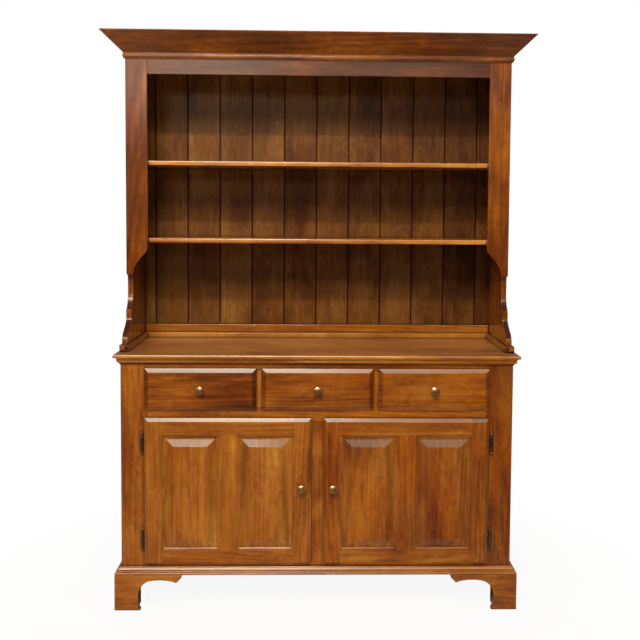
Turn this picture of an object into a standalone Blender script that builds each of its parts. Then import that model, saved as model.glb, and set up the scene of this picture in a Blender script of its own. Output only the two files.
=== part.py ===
"""Buffet with an open hutch top, in stained maple.

The base has three lipped drawers over two panelled doors and stands on bracket feet.
The hutch has scrolled ends, two shelves, grooved back boards and a sprung cornice.
Sizes are in metres. X runs to the right, Y to the back and Z up. The origin is on the
floor, in the middle of the whole piece.
"""
import math

import bmesh
import bpy
from mathutils import Vector

# Overall sizes
CASE_WIDTH = 1.321
CASE_DEPTH = 0.482
COUNTER_HEIGHT = 0.870
TOTAL_HEIGHT = 1.9655

# Clearances: pieces that touch, and pieces that move past each other
TOUCH = 0.0003
DOOR_CLEARANCE = 0.003
DRAWER_CLEARANCE = 0.0015
BOX_CLEARANCE = 0.003
STICKING_CLEARANCE = 0.0006

# Board thicknesses
SIDE_T = 0.019
FRAME_T = 0.019
BOTTOM_T = 0.019
DECK_T = 0.012
SHELF_T = 0.016
BACK_PANEL_T = 0.006
COUNTER_T = 0.0245

# Base face frame
STILE_WIDTH = 0.089
CENTRE_STILE_WIDTH = 0.060
MUNTIN_WIDTH = 0.037
BOTTOM_RAIL_WIDTH = 0.0372
MIDDLE_RAIL_WIDTH = 0.0451
DRAWER_OPENING_HEIGHT = 0.1227
TOP_RAIL_WIDTH = 0.0308

# Counter, the cove under it, and the base moulding
COUNTER_OVERHANG = 0.022
COVE_HEIGHT = 0.008
COVE_OUT = 0.0105
SKIRT_OUT = 0.021
SKIRT_HEIGHT = 0.0252

# Bracket feet
FOOT_HEIGHT = 0.122
FOOT_LENGTH = 0.228
FOOT_T = 0.020
FOOT_BLOCK = 0.056
REAR_BRACE_LENGTH = 0.078

# Lipped drawers
LIP_OVERLAP = 0.0095
LIP_T = 0.0095
INSET_T = 0.0095
DRAWER_BEVEL = 0.014
DRAWER_BEVEL_DROP = 0.005
BOX_REAR_ROOM = 0.066
BOX_HEIGHT = 0.108
BOX_WALL = 0.012
BOX_BOTTOM = 0.008
GUIDE_HEIGHT = 0.022

# Panelled doors
DOOR_STANDOFF = 0.002
DOOR_EDGE = 0.014
DOOR_STILE = 0.0575
DOOR_TOP_RAIL = 0.0580
DOOR_BOTTOM_RAIL = 0.0540
DOOR_MULLION = 0.061
STICKING_WIDTH = 0.0085
STICKING_DEPTH = 0.007
GROOVE_WIDTH = 0.006
GROOVE_DEPTH = 0.007
PANEL_RAISE = 0.029
PANEL_FIELD_DROP = 0.0002
PANEL_STEP = 0.0008
CUPBOARD_SHELF_UP = 0.242
CUPBOARD_SHELF_SETBACK = 0.040

# Knobs
KNOB_DIAMETER = 0.030
KNOB_OUT = 0.0265
KNOB_STEM_DIAMETER = 0.010
KNOB_SEGMENTS = 20
DOOR_KNOB_INSET = 0.033
DOOR_KNOB_RAISE = 0.016

# Hinges
KNUCKLE_RADIUS = 0.0042
KNUCKLE_FROM_LIP = 0.009
KNUCKLE_OFF_FACE = 0.0004
BARREL_LENGTH = 0.046
CASE_KNUCKLE_LENGTH = 0.0157
KNUCKLE_GAP = 0.0003
FINIAL_LENGTH = 0.0167
PIN_RADIUS = 0.0017
PIN_CLEARANCE = 0.0004
LEAF_T = 0.0012
LEAF_GAP = 0.0002
LEAF_HEIGHT = 0.050
CASE_LEAF_DEPTH = 0.0160
HINGE_FROM_DOOR_END = 0.088
HINGE_SEGMENTS = 12

# Hutch
HUTCH_END_SETBACK = 0.0075
HUTCH_DEPTH = 0.291
HUTCH_STILE = 0.075
HUTCH_RAIL_DROP = 0.141
HUTCH_TOP_DROP = 0.0295
HUTCH_TOP_T = 0.019
LOWER_SHELF_UP = 0.3835
UPPER_SHELF_UP = 0.656
BOARD_T = 0.010
BOARD_INSET = 0.002
BOARD_PITCH = 0.1217
BOARD_OFFSET = -0.0074
V_WIDTH = 0.005
V_DEPTH = 0.0025
BACK_RAIL_T = 0.0117
BACK_RAIL_HEIGHT = 0.050
CLEAT_T = 0.0117
CLEAT_HEIGHT = 0.0195
CLEAT_CHAMFER = 0.003

# Scrolled end of the hutch: heights are above the counter, set-backs from the hutch face
STILE_FOOT_UP = 0.255
BRACKET_HEIGHT = 0.0910
BRACKET_TIP = 0.0243
BRACKET_TIP_LAND = 0.0047
HOLLOW_UP = 0.196
HOLLOW_BACK = 0.026
LEDGE_UP = 0.133
LEDGE_BACK = -0.004
LEDGE_STEP = 0.006
FALL_UP = 0.105
TOE_UP = 0.0345
TOE_BACK = -0.087
SCROLL_FOOT_REACH = 0.136
SCROLL_FOOT_HEIGHT = 0.0225
SCROLL_FOOT_ROUND = 0.003
SCROLL_FOOT_UNDER = 0.0095

# Cornice
CROWN_OUT = 0.0735
CROWN_T = 0.019
CROWN_FOOT_UP = 0.0892
CROWN_FILLET = 0.003
CROWN_FOOT_OUT = 0.006
CROWN_QUIRK = 0.0045
BEAD_OUT = 0.0085
BEAD_HEIGHT = 0.008
COVE_DROP = 0.0082

# Levels and planes that follow from the sizes above
CASE_BOTTOM = FOOT_HEIGHT + TOUCH
CASE_TOP = COUNTER_HEIGHT - COUNTER_T - TOUCH
DRAWER_OPENING_TOP = CASE_TOP - TOP_RAIL_WIDTH
DRAWER_OPENING_BOTTOM = DRAWER_OPENING_TOP - DRAWER_OPENING_HEIGHT
DOOR_OPENING_BOTTOM = CASE_BOTTOM + BOTTOM_RAIL_WIDTH
DOOR_OPENING_TOP = DRAWER_OPENING_BOTTOM - MIDDLE_RAIL_WIDTH
DOOR_OPENING_HEIGHT = DOOR_OPENING_TOP - DOOR_OPENING_BOTTOM
HALF_CASE = CASE_WIDTH / 2
HALF_OPENING = HALF_CASE - STILE_WIDTH
DRAWER_OPENING_WIDTH = (2 * HALF_OPENING - 2 * MUNTIN_WIDTH) / 3
DRAWER_SPACING = DRAWER_OPENING_WIDTH + MUNTIN_WIDTH
DOOR_OPENING_WIDTH = HALF_OPENING - CENTRE_STILE_WIDTH / 2
INSIDE_HALF = HALF_CASE - SIDE_T - TOUCH
INSIDE_FRONT = FRAME_T + TOUCH
INSIDE_BACK = CASE_DEPTH - BACK_PANEL_T - TOUCH
DOOR_FACE = -(DOOR_STANDOFF + LIP_T)
DRAWER_FACE = -(TOUCH + LIP_T)
FRONT_REACH = KNOB_OUT - DOOR_FACE
MIDDLE = (CASE_DEPTH - FRONT_REACH) / 2
HUTCH_BOTTOM = COUNTER_HEIGHT + TOUCH
HUTCH_TOP = TOTAL_HEIGHT - HUTCH_TOP_DROP
HUTCH_FACE = CASE_DEPTH - HUTCH_DEPTH
HALF_HUTCH = HALF_CASE + COUNTER_OVERHANG - HUTCH_END_SETBACK
HUTCH_INSIDE_HALF = HALF_HUTCH - SIDE_T - TOUCH
HUTCH_INSIDE_FRONT = HUTCH_FACE + FRAME_T + TOUCH
BOARD_FACE = CASE_DEPTH - BOARD_INSET - BOARD_T
STILE_FOOT = COUNTER_HEIGHT + STILE_FOOT_UP
AXIS_X = HALF_OPENING + LIP_OVERLAP + KNUCKLE_FROM_LIP
AXIS_Y = -(KNUCKLE_RADIUS + KNUCKLE_OFF_FACE)

# Finishes: colour, roughness, metallic
MAPLE = ((0.235, 0.085, 0.022), 0.32, 0.0)
MAPLE_DARK = ((0.120, 0.045, 0.014), 0.42, 0.0)
DRAWER_WOOD = ((0.420, 0.270, 0.130), 0.55, 0.0)
HARDBOARD = ((0.190, 0.105, 0.050), 0.70, 0.0)
ANTIQUE_COPPER = ((0.380, 0.190, 0.100), 0.30, 1.0)
ANTIQUE_BRASS = ((0.260, 0.170, 0.090), 0.38, 1.0)


def finish(name, look):
    """A Principled material of its own for one piece."""
    colour, roughness, metallic = look
    material = bpy.data.materials.new(name + "_finish")
    material.use_nodes = True
    shader = material.node_tree.nodes["Principled BSDF"]
    shader.inputs["Base Color"].default_value = (*colour, 1.0)
    shader.inputs["Roughness"].default_value = roughness
    shader.inputs["Metallic"].default_value = metallic
    return material


def add_piece(name, mesh, look, parent=None):
    """Place a mesh, made about its parent's place, as one named piece."""
    mesh.materials.clear()
    mesh.materials.append(finish(name, look))
    piece = bpy.data.objects.new(name, mesh)
    bpy.context.scene.collection.objects.link(piece)
    if parent is None:
        piece.location = (0, -MIDDLE, 0)
    else:
        piece.parent = parent
    return piece


def add_pivot(name, x, y, z):
    """An empty on a joint's axis, which carries the pieces that move together."""
    pivot = bpy.data.objects.new(name, None)
    bpy.context.scene.collection.objects.link(pivot)
    pivot.location = (x, y - MIDDLE, z)
    pivot.empty_display_size = 0.05
    return pivot


def closed_mesh(verts, faces):
    """A mesh from points and faces, with every face turned outwards."""
    mesh = bpy.data.meshes.new("solid")
    mesh.from_pydata([tuple(v) for v in verts], [], faces)
    bm = bmesh.new()
    bm.from_mesh(mesh)
    bmesh.ops.recalc_face_normals(bm, faces=bm.faces)
    bm.to_mesh(mesh)
    bm.free()
    return mesh


def loft(rings):
    """A solid through rings of points, with its first and last ring filled."""
    count = len(rings[0])
    verts = [point for ring in rings for point in ring]
    faces = [tuple(range(count)), tuple(range(len(verts) - count, len(verts)))]
    for level in range(len(rings) - 1):
        low, high = level * count, (level + 1) * count
        for i in range(count):
            j = (i + 1) % count
            faces.append((low + i, low + j, high + j, high + i))
    return closed_mesh(verts, faces)


def block(x_range, y_range, z_range):
    """A plain rectangular board."""
    (x0, x1), (y0, y1), (z0, z1) = x_range, y_range, z_range
    corners = [(x0, y0), (x1, y0), (x1, y1), (x0, y1)]
    return loft([[(x, y, z) for x, y in corners] for z in (z0, z1)])


def cut_along_x(outline, x0, x1):
    """A board cut to an outline of (y, z) points, its thickness along X."""
    return loft([[(x, y, z) for y, z in outline] for x in (x0, x1)])


def cut_along_y(outline, y0, y1):
    """A board cut to an outline of (x, z) points, its thickness along Y."""
    return loft([[(x, y, z) for x, z in outline] for y in (y0, y1)])


def cut_along_z(outline, z0, z1):
    """A strip with a section of (x, y) points, running along Z."""
    return loft([[(x, y, z) for x, y in outline] for z in (z0, z1)])


def stepped_slab(x_range, z_range, steps):
    """A slab through rectangles, one for each (inset, y) step from front to back."""
    (x0, x1), (z0, z1) = x_range, z_range
    rings = []
    for inset, y in steps:
        left, right = x0 + inset, x1 - inset
        low, high = z0 + inset, z1 - inset
        rings.append([(left, y, low), (right, y, low), (right, y, high), (left, y, high)])
    return loft(rings)


def around_case(section, half_width, front, back):
    """A moulding of (out, z) section points, mitred round the front and both ends."""
    rings = []
    for side, y, out_along_y in ((-1, back, 0), (-1, front, -1), (1, front, -1), (1, back, 0)):
        rings.append([(side * (half_width + out), y + out_along_y * out, z) for out, z in section])
    return loft(rings)


def edged_top(section, half_width, front, back):
    """A top board whose front and ends are cut to (out, z) section points."""
    rings = []
    for out, z in section:
        x, y = half_width + out, front - out
        rings.append([(-x, y, z), (x, y, z), (x, back, z), (-x, back, z)])
    return loft(rings)


def turned(profile, segments, centre, axis):
    """A turned solid: (radius, height) points round an axis, closed at both poles."""
    axis = Vector(axis)
    side = axis.orthogonal().normalized()
    other = axis.cross(side)
    centre = Vector(centre)
    verts = [centre + axis * profile[0][1]]
    for radius, height in profile[1:-1]:
        for i in range(segments):
            turn = 2 * math.pi * i / segments
            around = side * math.cos(turn) + other * math.sin(turn)
            verts.append(centre + axis * height + around * radius)
    verts.append(centre + axis * profile[-1][1])
    last = len(verts) - 1
    faces = []
    for i in range(segments):
        j = (i + 1) % segments
        faces.append((0, 1 + j, 1 + i))
        faces.append((last, last - segments + i, last - segments + j))
        for level in range(len(profile) - 3):
            low, high = 1 + level * segments, 1 + (level + 1) * segments
            faces.append((low + i, low + j, high + j, high + i))
    mesh = closed_mesh(verts, faces)
    mesh.shade_smooth()
    mesh.set_sharp_from_angle(angle=math.radians(40))
    return mesh


def tube(outer, bore, low, high, segments):
    """An upright tube about the origin."""
    rings = []
    for radius, z in ((outer, low), (outer, high), (bore, high), (bore, low)):
        turns = [2 * math.pi * i / segments for i in range(segments)]
        rings.append([(radius * math.cos(t), radius * math.sin(t), z) for t in turns])
    verts = [point for ring in rings for point in ring]
    faces = []
    for level in range(4):
        this, following = level * segments, ((level + 1) % 4) * segments
        for i in range(segments):
            j = (i + 1) % segments
            faces.append((this + i, this + j, following + j, following + i))
    return closed_mesh(verts, faces)


def combined(first, others, operation):
    """The first mesh with the others added to it or cut from it, as one solid."""
    body = bpy.data.objects.new("body", first)
    bpy.context.scene.collection.objects.link(body)
    tools = []
    for mesh in others:
        tool = bpy.data.objects.new("tool", mesh)
        bpy.context.scene.collection.objects.link(tool)
        step = body.modifiers.new("step", "BOOLEAN")
        step.operation = operation
        step.solver = "EXACT"
        step.object = tool
        tools.append(tool)
    bpy.context.view_layer.update()
    graph = bpy.context.evaluated_depsgraph_get()
    result = bpy.data.meshes.new_from_object(body.evaluated_get(graph))
    for helper in [body, *tools]:
        bpy.data.objects.remove(helper, do_unlink=True)
    return result


def curve(start, pull_start, pull_end, end, steps):
    """Points of a cubic curve, without its start."""
    points = []
    for step in range(1, steps + 1):
        t = step / steps
        weights = ((1 - t) ** 3, 3 * t * (1 - t) ** 2, 3 * t * t * (1 - t), t ** 3)
        pulls = (start, pull_start, pull_end, end)
        points.append(tuple(sum(w * p[i] for w, p in zip(weights, pulls)) for i in (0, 1)))
    return points


def quarter_round(start, end, steps, hollow=False):
    """Points of a quarter ellipse from start to end, full or hollow, without its start."""
    (a0, b0), (a1, b1) = start, end
    points = []
    for step in range(1, steps + 1):
        turn = math.pi / 2 * step / steps
        across, along = math.sin(turn), 1 - math.cos(turn)
        if hollow:
            across, along = along, across
        points.append((a0 + (a1 - a0) * across, b0 + (b1 - b0) * along))
    return points


def mirrored(points, side):
    """The same (x, z) or (x, y) outline on the left (-1) or right (+1)."""
    return [(side * x, other) for x, other in points]


def foot_outline():
    """Bracket foot, (length from the outer corner, height)."""
    toe, waist = FOOT_LENGTH * 0.379, FOOT_LENGTH * 0.346
    tip = (FOOT_LENGTH * 0.910, FOOT_HEIGHT * 0.770)
    shoulder = (FOOT_LENGTH * 0.563, FOOT_HEIGHT * 0.836)
    spring = (waist, FOOT_HEIGHT * 0.385)
    points = [(0, 0), (toe, 0), (toe, FOOT_HEIGHT * 0.045), (waist, FOOT_HEIGHT * 0.130), spring]
    points += curve(spring, (waist, FOOT_HEIGHT * 0.615),
                    (FOOT_LENGTH * 0.419, FOOT_HEIGHT * 0.820), shoulder, 6)
    points += curve(shoulder, (FOOT_LENGTH * 0.690, FOOT_HEIGHT * 0.861),
                    (FOOT_LENGTH * 0.808, FOOT_HEIGHT * 0.844), tip, 4)
    points += curve(tip, (FOOT_LENGTH * 0.939, FOOT_HEIGHT * 0.852),
                    (FOOT_LENGTH * 0.991, FOOT_HEIGHT * 0.869), (FOOT_LENGTH, FOOT_HEIGHT), 3)
    points.append((0, FOOT_HEIGHT))
    return points


def make_feet():
    """Four bracket feet, each with its corner block glued in."""
    outer = HALF_CASE + SKIRT_OUT
    outline = foot_outline()
    names = {-1: "left", 1: "right"}
    for side in (-1, 1):
        front_board = cut_along_y(mirrored([(outer - u, z) for u, z in outline], side),
                                  -SKIRT_OUT, -SKIRT_OUT + FOOT_T)
        side_board = cut_along_x([(u - SKIRT_OUT, z) for u, z in outline],
                                 side * (outer - FOOT_T), side * outer)
        inner = outer - FOOT_T - FOOT_BLOCK
        corner = block(sorted((side * inner, side * (outer - FOOT_T / 2))),
                       (-SKIRT_OUT + FOOT_T / 2, -SKIRT_OUT + FOOT_T + FOOT_BLOCK),
                       (0, FOOT_HEIGHT))
        add_piece("foot_front_" + names[side],
                  combined(front_board, [side_board, corner], "UNION"), MAPLE)
        rear_board = cut_along_x([(CASE_DEPTH - u, z) for u, z in outline],
                                 side * (outer - FOOT_T), side * outer)
        brace = block(sorted((side * (outer - REAR_BRACE_LENGTH), side * (outer - FOOT_T / 2))),
                      (CASE_DEPTH - FOOT_T, CASE_DEPTH), (0, FOOT_HEIGHT))
        corner = block(sorted((side * inner, side * (outer - FOOT_T / 2))),
                       (CASE_DEPTH - FOOT_T - FOOT_BLOCK, CASE_DEPTH - FOOT_T / 2),
                       (0, FOOT_HEIGHT))
        add_piece("foot_rear_" + names[side],
                  combined(rear_board, [brace, corner], "UNION"), MAPLE)


def make_base_frame():
    """Face frame of the base: stiles, rails and muntins."""
    depth = (0, FRAME_T)
    between = HALF_OPENING - TOUCH
    for side, name in ((-1, "left"), (1, "right")):
        x_range = sorted((side * HALF_OPENING, side * HALF_CASE))
        add_piece("base_stile_" + name, block(x_range, depth, (CASE_BOTTOM, CASE_TOP)), MAPLE)
    rails = {
        "base_rail_bottom": (CASE_BOTTOM, DOOR_OPENING_BOTTOM),
        "base_rail_middle": (DOOR_OPENING_TOP, DRAWER_OPENING_BOTTOM),
        "base_rail_top": (DRAWER_OPENING_TOP, CASE_TOP),
    }
    for name, z_range in rails.items():
        add_piece(name, block((-between, between), depth, z_range), MAPLE)
    half = CENTRE_STILE_WIDTH / 2
    add_piece("base_stile_centre",
              block((-half, half), depth, (DOOR_OPENING_BOTTOM + TOUCH, DOOR_OPENING_TOP - TOUCH)),
              MAPLE)
    for side, name in ((-1, "left"), (1, "right")):
        centre = side * DRAWER_SPACING / 2
        x_range = (centre - MUNTIN_WIDTH / 2, centre + MUNTIN_WIDTH / 2)
        z_range = (DRAWER_OPENING_BOTTOM + TOUCH, DRAWER_OPENING_TOP - TOUCH)
        add_piece("drawer_muntin_" + name, block(x_range, depth, z_range), MAPLE)
        z_range = (DRAWER_OPENING_BOTTOM + TOUCH, DRAWER_OPENING_BOTTOM + GUIDE_HEIGHT)
        add_piece("drawer_guide_" + name,
                  block(x_range, (INSIDE_FRONT, INSIDE_BACK), z_range), DRAWER_WOOD)


def make_base_case():
    """Sides, bottom, shelf, drawer deck and back of the base."""
    for side, name in ((-1, "left"), (1, "right")):
        x_range = sorted((side * (HALF_CASE - SIDE_T), side * HALF_CASE))
        add_piece("base_side_" + name,
                  block(x_range, (INSIDE_FRONT, CASE_DEPTH), (CASE_BOTTOM, CASE_TOP)), MAPLE)
    x_range = (-INSIDE_HALF, INSIDE_HALF)
    add_piece("base_bottom_board",
              block(x_range, (INSIDE_FRONT, INSIDE_BACK),
                    (DOOR_OPENING_BOTTOM - BOTTOM_T, DOOR_OPENING_BOTTOM)), MAPLE)
    shelf_low = DOOR_OPENING_BOTTOM + CUPBOARD_SHELF_UP
    add_piece("cupboard_shelf",
              block(x_range, (INSIDE_FRONT + CUPBOARD_SHELF_SETBACK, INSIDE_BACK),
                    (shelf_low, shelf_low + SHELF_T)), MAPLE)
    add_piece("base_back_panel",
              block(x_range, (CASE_DEPTH - BACK_PANEL_T, CASE_DEPTH), (CASE_BOTTOM, CASE_TOP)),
              HARDBOARD)
    top = DRAWER_OPENING_BOTTOM
    guide = (HALF_OPENING, top + GUIDE_HEIGHT)
    outline = [(-INSIDE_HALF, top - DECK_T), (INSIDE_HALF, top - DECK_T)]
    outline += [(INSIDE_HALF, guide[1]), guide, (HALF_OPENING, top)]
    outline += [(-HALF_OPENING, top), (-HALF_OPENING, guide[1]), (-INSIDE_HALF, guide[1])]
    add_piece("drawer_deck", cut_along_y(outline, INSIDE_FRONT, INSIDE_BACK), DRAWER_WOOD)


def make_counter():
    """Counter board with its moulded edge, and the cove under the edge."""
    low, top, out = COUNTER_HEIGHT - COUNTER_T, COUNTER_HEIGHT, COUNTER_OVERHANG
    section = [(out * 0.50, low), (out * 0.50, top - COUNTER_T * 0.69)]
    section.append((out * 0.53, top - COUNTER_T * 0.67))
    section += quarter_round(section[-1], (out * 0.97, top - COUNTER_T * 0.41), 4, hollow=True)
    section += [(out, top - COUNTER_T * 0.39), (out, top - COUNTER_T * 0.10)]
    section += quarter_round(section[-1], (out * 0.88, top), 3, hollow=True)
    add_piece("counter_top", edged_top(section, HALF_CASE, 0, CASE_DEPTH), MAPLE)
    foot = CASE_TOP - COVE_HEIGHT
    section = [(TOUCH, foot), (COVE_OUT * 0.28, foot), (COVE_OUT * 0.33, foot + COVE_HEIGHT * 0.2)]
    section += quarter_round(section[-1], (COVE_OUT * 0.9, CASE_TOP - COVE_HEIGHT * 0.15), 3,
                             hollow=True)
    section += [(COVE_OUT, CASE_TOP - COVE_HEIGHT * 0.15), (COVE_OUT, CASE_TOP), (TOUCH, CASE_TOP)]
    add_piece("counter_cove", around_case(section, HALF_CASE, 0, CASE_DEPTH), MAPLE)


def make_base_moulding():
    """Two-step moulding round the foot of the case."""
    low, out = CASE_BOTTOM, SKIRT_OUT
    top = low + SKIRT_HEIGHT

    def at(share_out, share_up):
        return (out * share_out, low + SKIRT_HEIGHT * share_up)

    section = [(TOUCH, low), at(1, 0), at(1, 0.25), at(0.93, 0.30), at(0.87, 0.30), at(0.87, 0.35)]
    section += quarter_round(section[-1], at(0.64, 0.58), 4, hollow=True)
    section += [at(0.51, 0.58), at(0.51, 0.67)]
    section += quarter_round(section[-1], at(0.34, 0.82), 3, hollow=True)
    section += quarter_round(section[-1], at(0.14, 1), 3)
    section.append((TOUCH, top))
    add_piece("base_moulding", around_case(section, HALF_CASE, 0, CASE_DEPTH), MAPLE)


def scroll_outline():
    """Front edge of a hutch end from its top to the counter, as (y, z) points."""
    def at(back, up):
        return (HUTCH_FACE + back, COUNTER_HEIGHT + up)

    behind_stile = FRAME_T + TOUCH
    points = [at(behind_stile, HUTCH_TOP - COUNTER_HEIGHT), at(behind_stile, STILE_FOOT_UP)]
    hollow = at(HOLLOW_BACK, HOLLOW_UP)
    reach = (STILE_FOOT_UP - HOLLOW_UP) * 0.4
    points += curve(points[-1], at(HOLLOW_BACK, STILE_FOOT_UP - reach / 2),
                    at(HOLLOW_BACK, HOLLOW_UP + reach), hollow, 5)
    ledge = at(LEDGE_BACK, LEDGE_UP)
    rise = HOLLOW_UP - LEDGE_UP
    points += curve(hollow, at(HOLLOW_BACK, HOLLOW_UP - rise * 0.42),
                    at(LEDGE_BACK + rise * 0.30, LEDGE_UP + rise * 0.27), ledge, 6)
    step = at(LEDGE_BACK - LEDGE_STEP, LEDGE_UP - LEDGE_STEP / 3)
    fall = at(LEDGE_BACK - LEDGE_STEP, FALL_UP)
    points += [step, fall]
    toe = at(TOE_BACK, TOE_UP)
    drop = (FALL_UP - TOE_UP) * 0.4
    points += curve(fall, at(LEDGE_BACK - LEDGE_STEP, FALL_UP - drop),
                    at(TOE_BACK, TOE_UP + drop), toe, 8)
    foot_top = SCROLL_FOOT_HEIGHT
    points += [at(TOE_BACK, foot_top), at(SCROLL_FOOT_ROUND - SCROLL_FOOT_REACH, foot_top)]
    points += quarter_round(points[-1], at(-SCROLL_FOOT_REACH, foot_top - SCROLL_FOOT_ROUND), 3)
    points.append(at(-SCROLL_FOOT_REACH, SCROLL_FOOT_UNDER))
    points += quarter_round(points[-1], at(SCROLL_FOOT_UNDER - SCROLL_FOOT_REACH, TOUCH), 3,
                            hollow=True)
    return points


def stile_outline():
    """Hutch stile with its bracket foot, as (x, z) points on the right-hand side."""
    inner = HALF_HUTCH - HUTCH_STILE
    tip = (HALF_HUTCH - BRACKET_TIP, STILE_FOOT + BRACKET_TIP_LAND)
    head = (inner, STILE_FOOT + BRACKET_HEIGHT)
    points = [(HALF_HUTCH, HUTCH_TOP), (HALF_HUTCH, STILE_FOOT), (tip[0], STILE_FOOT), tip]
    points += curve(tip, (tip[0], STILE_FOOT + BRACKET_HEIGHT * 0.47),
                    (inner + HUTCH_STILE * 0.17, STILE_FOOT + BRACKET_HEIGHT * 0.71), head, 8)
    points.append((inner, HUTCH_TOP))
    return points


def make_hutch_case():
    """Scrolled ends, face frame, top and shelves of the hutch."""
    side_outline = scroll_outline()
    side_outline += [(CASE_DEPTH, HUTCH_BOTTOM), (CASE_DEPTH, HUTCH_TOP)]
    frame_depth = (HUTCH_FACE, HUTCH_FACE + FRAME_T)
    for side, name in ((-1, "left"), (1, "right")):
        add_piece("hutch_side_" + name,
                  cut_along_x(side_outline, side * (HALF_HUTCH - SIDE_T), side * HALF_HUTCH),
                  MAPLE)
        add_piece("hutch_stile_" + name,
                  cut_along_y(mirrored(stile_outline(), side), *frame_depth), MAPLE)
    between = HALF_HUTCH - HUTCH_STILE - TOUCH
    add_piece("hutch_top_rail",
              block((-between, between), frame_depth, (TOTAL_HEIGHT - HUTCH_RAIL_DROP, HUTCH_TOP)),
              MAPLE)
    x_range = (-HUTCH_INSIDE_HALF, HUTCH_INSIDE_HALF)
    y_range = (HUTCH_INSIDE_FRONT, BOARD_FACE - TOUCH)
    add_piece("hutch_top_board", block(x_range, y_range, (HUTCH_TOP - HUTCH_TOP_T, HUTCH_TOP)),
              MAPLE)
    for name, up in (("lower", LOWER_SHELF_UP), ("upper", UPPER_SHELF_UP)):
        top = COUNTER_HEIGHT + up
        nose = SHELF_T * 0.28
        front, back = y_range
        outline = [(back, top), (back, top - SHELF_T), (front + nose, top - SHELF_T)]
        outline += quarter_round(outline[-1], (front, top - SHELF_T + nose), 3)
        outline.append((front, top - nose))
        outline += quarter_round(outline[-1], (front + nose, top), 3, hollow=True)
        add_piece("hutch_shelf_" + name, cut_along_x(outline, *x_range), MAPLE)


def make_hutch_back():
    """Grooved back boards, the rail at their foot and the cleat round the counter."""
    outline = [(HUTCH_INSIDE_HALF, BOARD_FACE + BOARD_T), (-HUTCH_INSIDE_HALF, BOARD_FACE + BOARD_T),
               (-HUTCH_INSIDE_HALF, BOARD_FACE)]
    furthest = int((HUTCH_INSIDE_HALF - abs(BOARD_OFFSET) - V_WIDTH) / BOARD_PITCH)
    for number in range(-furthest, furthest + 1):
        centre = number * BOARD_PITCH + BOARD_OFFSET
        outline += [(centre - V_WIDTH / 2, BOARD_FACE), (centre, BOARD_FACE + V_DEPTH),
                    (centre + V_WIDTH / 2, BOARD_FACE)]
    outline.append((HUTCH_INSIDE_HALF, BOARD_FACE))
    add_piece("hutch_back_boards", cut_along_z(outline, HUTCH_BOTTOM, HUTCH_TOP), MAPLE_DARK)
    rail_back = BOARD_FACE - TOUCH
    rail_front = rail_back - BACK_RAIL_T
    x_range = (-HUTCH_INSIDE_HALF, HUTCH_INSIDE_HALF)
    add_piece("hutch_back_rail",
              block(x_range, (rail_front, rail_back),
                    (HUTCH_BOTTOM, COUNTER_HEIGHT + BACK_RAIL_HEIGHT)), MAPLE)
    cleat_back = rail_front - TOUCH
    cleat_front = HUTCH_FACE - SCROLL_FOOT_REACH + CLEAT_CHAMFER
    top = COUNTER_HEIGHT + CLEAT_HEIGHT
    rings = []
    for inset, z in ((0, HUTCH_BOTTOM), (0, top - CLEAT_CHAMFER), (CLEAT_CHAMFER, top)):
        outer, inner = HUTCH_INSIDE_HALF, HUTCH_INSIDE_HALF - CLEAT_T + inset
        back, face = cleat_back, cleat_back - CLEAT_T + inset
        plan = [(-outer, cleat_front), (-outer, back), (outer, back), (outer, cleat_front)]
        plan += [(inner, cleat_front), (inner, face), (-inner, face), (-inner, cleat_front)]
        rings.append([(x, y, z) for x, y in plan])
    add_piece("hutch_cleat", loft(rings), MAPLE)


def make_cornice():
    """Sprung crown with a bead and cove at its foot, mitred at the corners."""
    foot = TOTAL_HEIGHT - CROWN_FOOT_UP
    bead_low, bead_top = foot + COVE_DROP, foot + COVE_DROP + BEAD_HEIGHT
    crown_top = TOTAL_HEIGHT - CROWN_FILLET
    slope_back = CROWN_T * math.sqrt(2)
    section = [(TOUCH, foot)]
    section += quarter_round((TOUCH, foot), (BEAD_OUT * 0.8, bead_low), 4)
    section.append((BEAD_OUT, bead_low))
    section += quarter_round((BEAD_OUT, bead_low + BEAD_HEIGHT * 0.3), (CROWN_FOOT_OUT, bead_top),
                             4, hollow=True)
    crown_foot = bead_top + CROWN_QUIRK
    section += [(CROWN_FOOT_OUT, crown_foot), (CROWN_OUT, crown_top), (CROWN_OUT, TOTAL_HEIGHT)]
    slope = (crown_top - crown_foot) / (CROWN_OUT - CROWN_FOOT_OUT)
    back_foot = crown_foot + slope_back - slope * CROWN_FOOT_OUT
    section.append(((TOTAL_HEIGHT - back_foot) / slope, TOTAL_HEIGHT))
    section.append((TOUCH, back_foot))
    add_piece("cornice", around_case(section, HALF_HUTCH, HUTCH_FACE, CASE_DEPTH), MAPLE)


def knob_mesh(x, y, z):
    """A turned mushroom knob that stands out from a face at y."""
    rim, stem = KNOB_DIAMETER / 2, KNOB_STEM_DIAMETER / 2
    out = KNOB_OUT
    profile = [(0, TOUCH), (stem * 1.4, TOUCH), (stem * 1.3, out * 0.06), (stem, out * 0.15)]
    profile += [(stem, out * 0.34), (stem * 1.4, out * 0.47), (rim * 0.80, out * 0.58)]
    profile += [(rim, out * 0.71), (rim, out * 0.79), (rim * 0.83, out * 0.92)]
    profile += [(rim * 0.47, out * 0.985), (0, out)]
    return turned(profile, KNOB_SEGMENTS, (x, y, z), (0, -1, 0))


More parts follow.
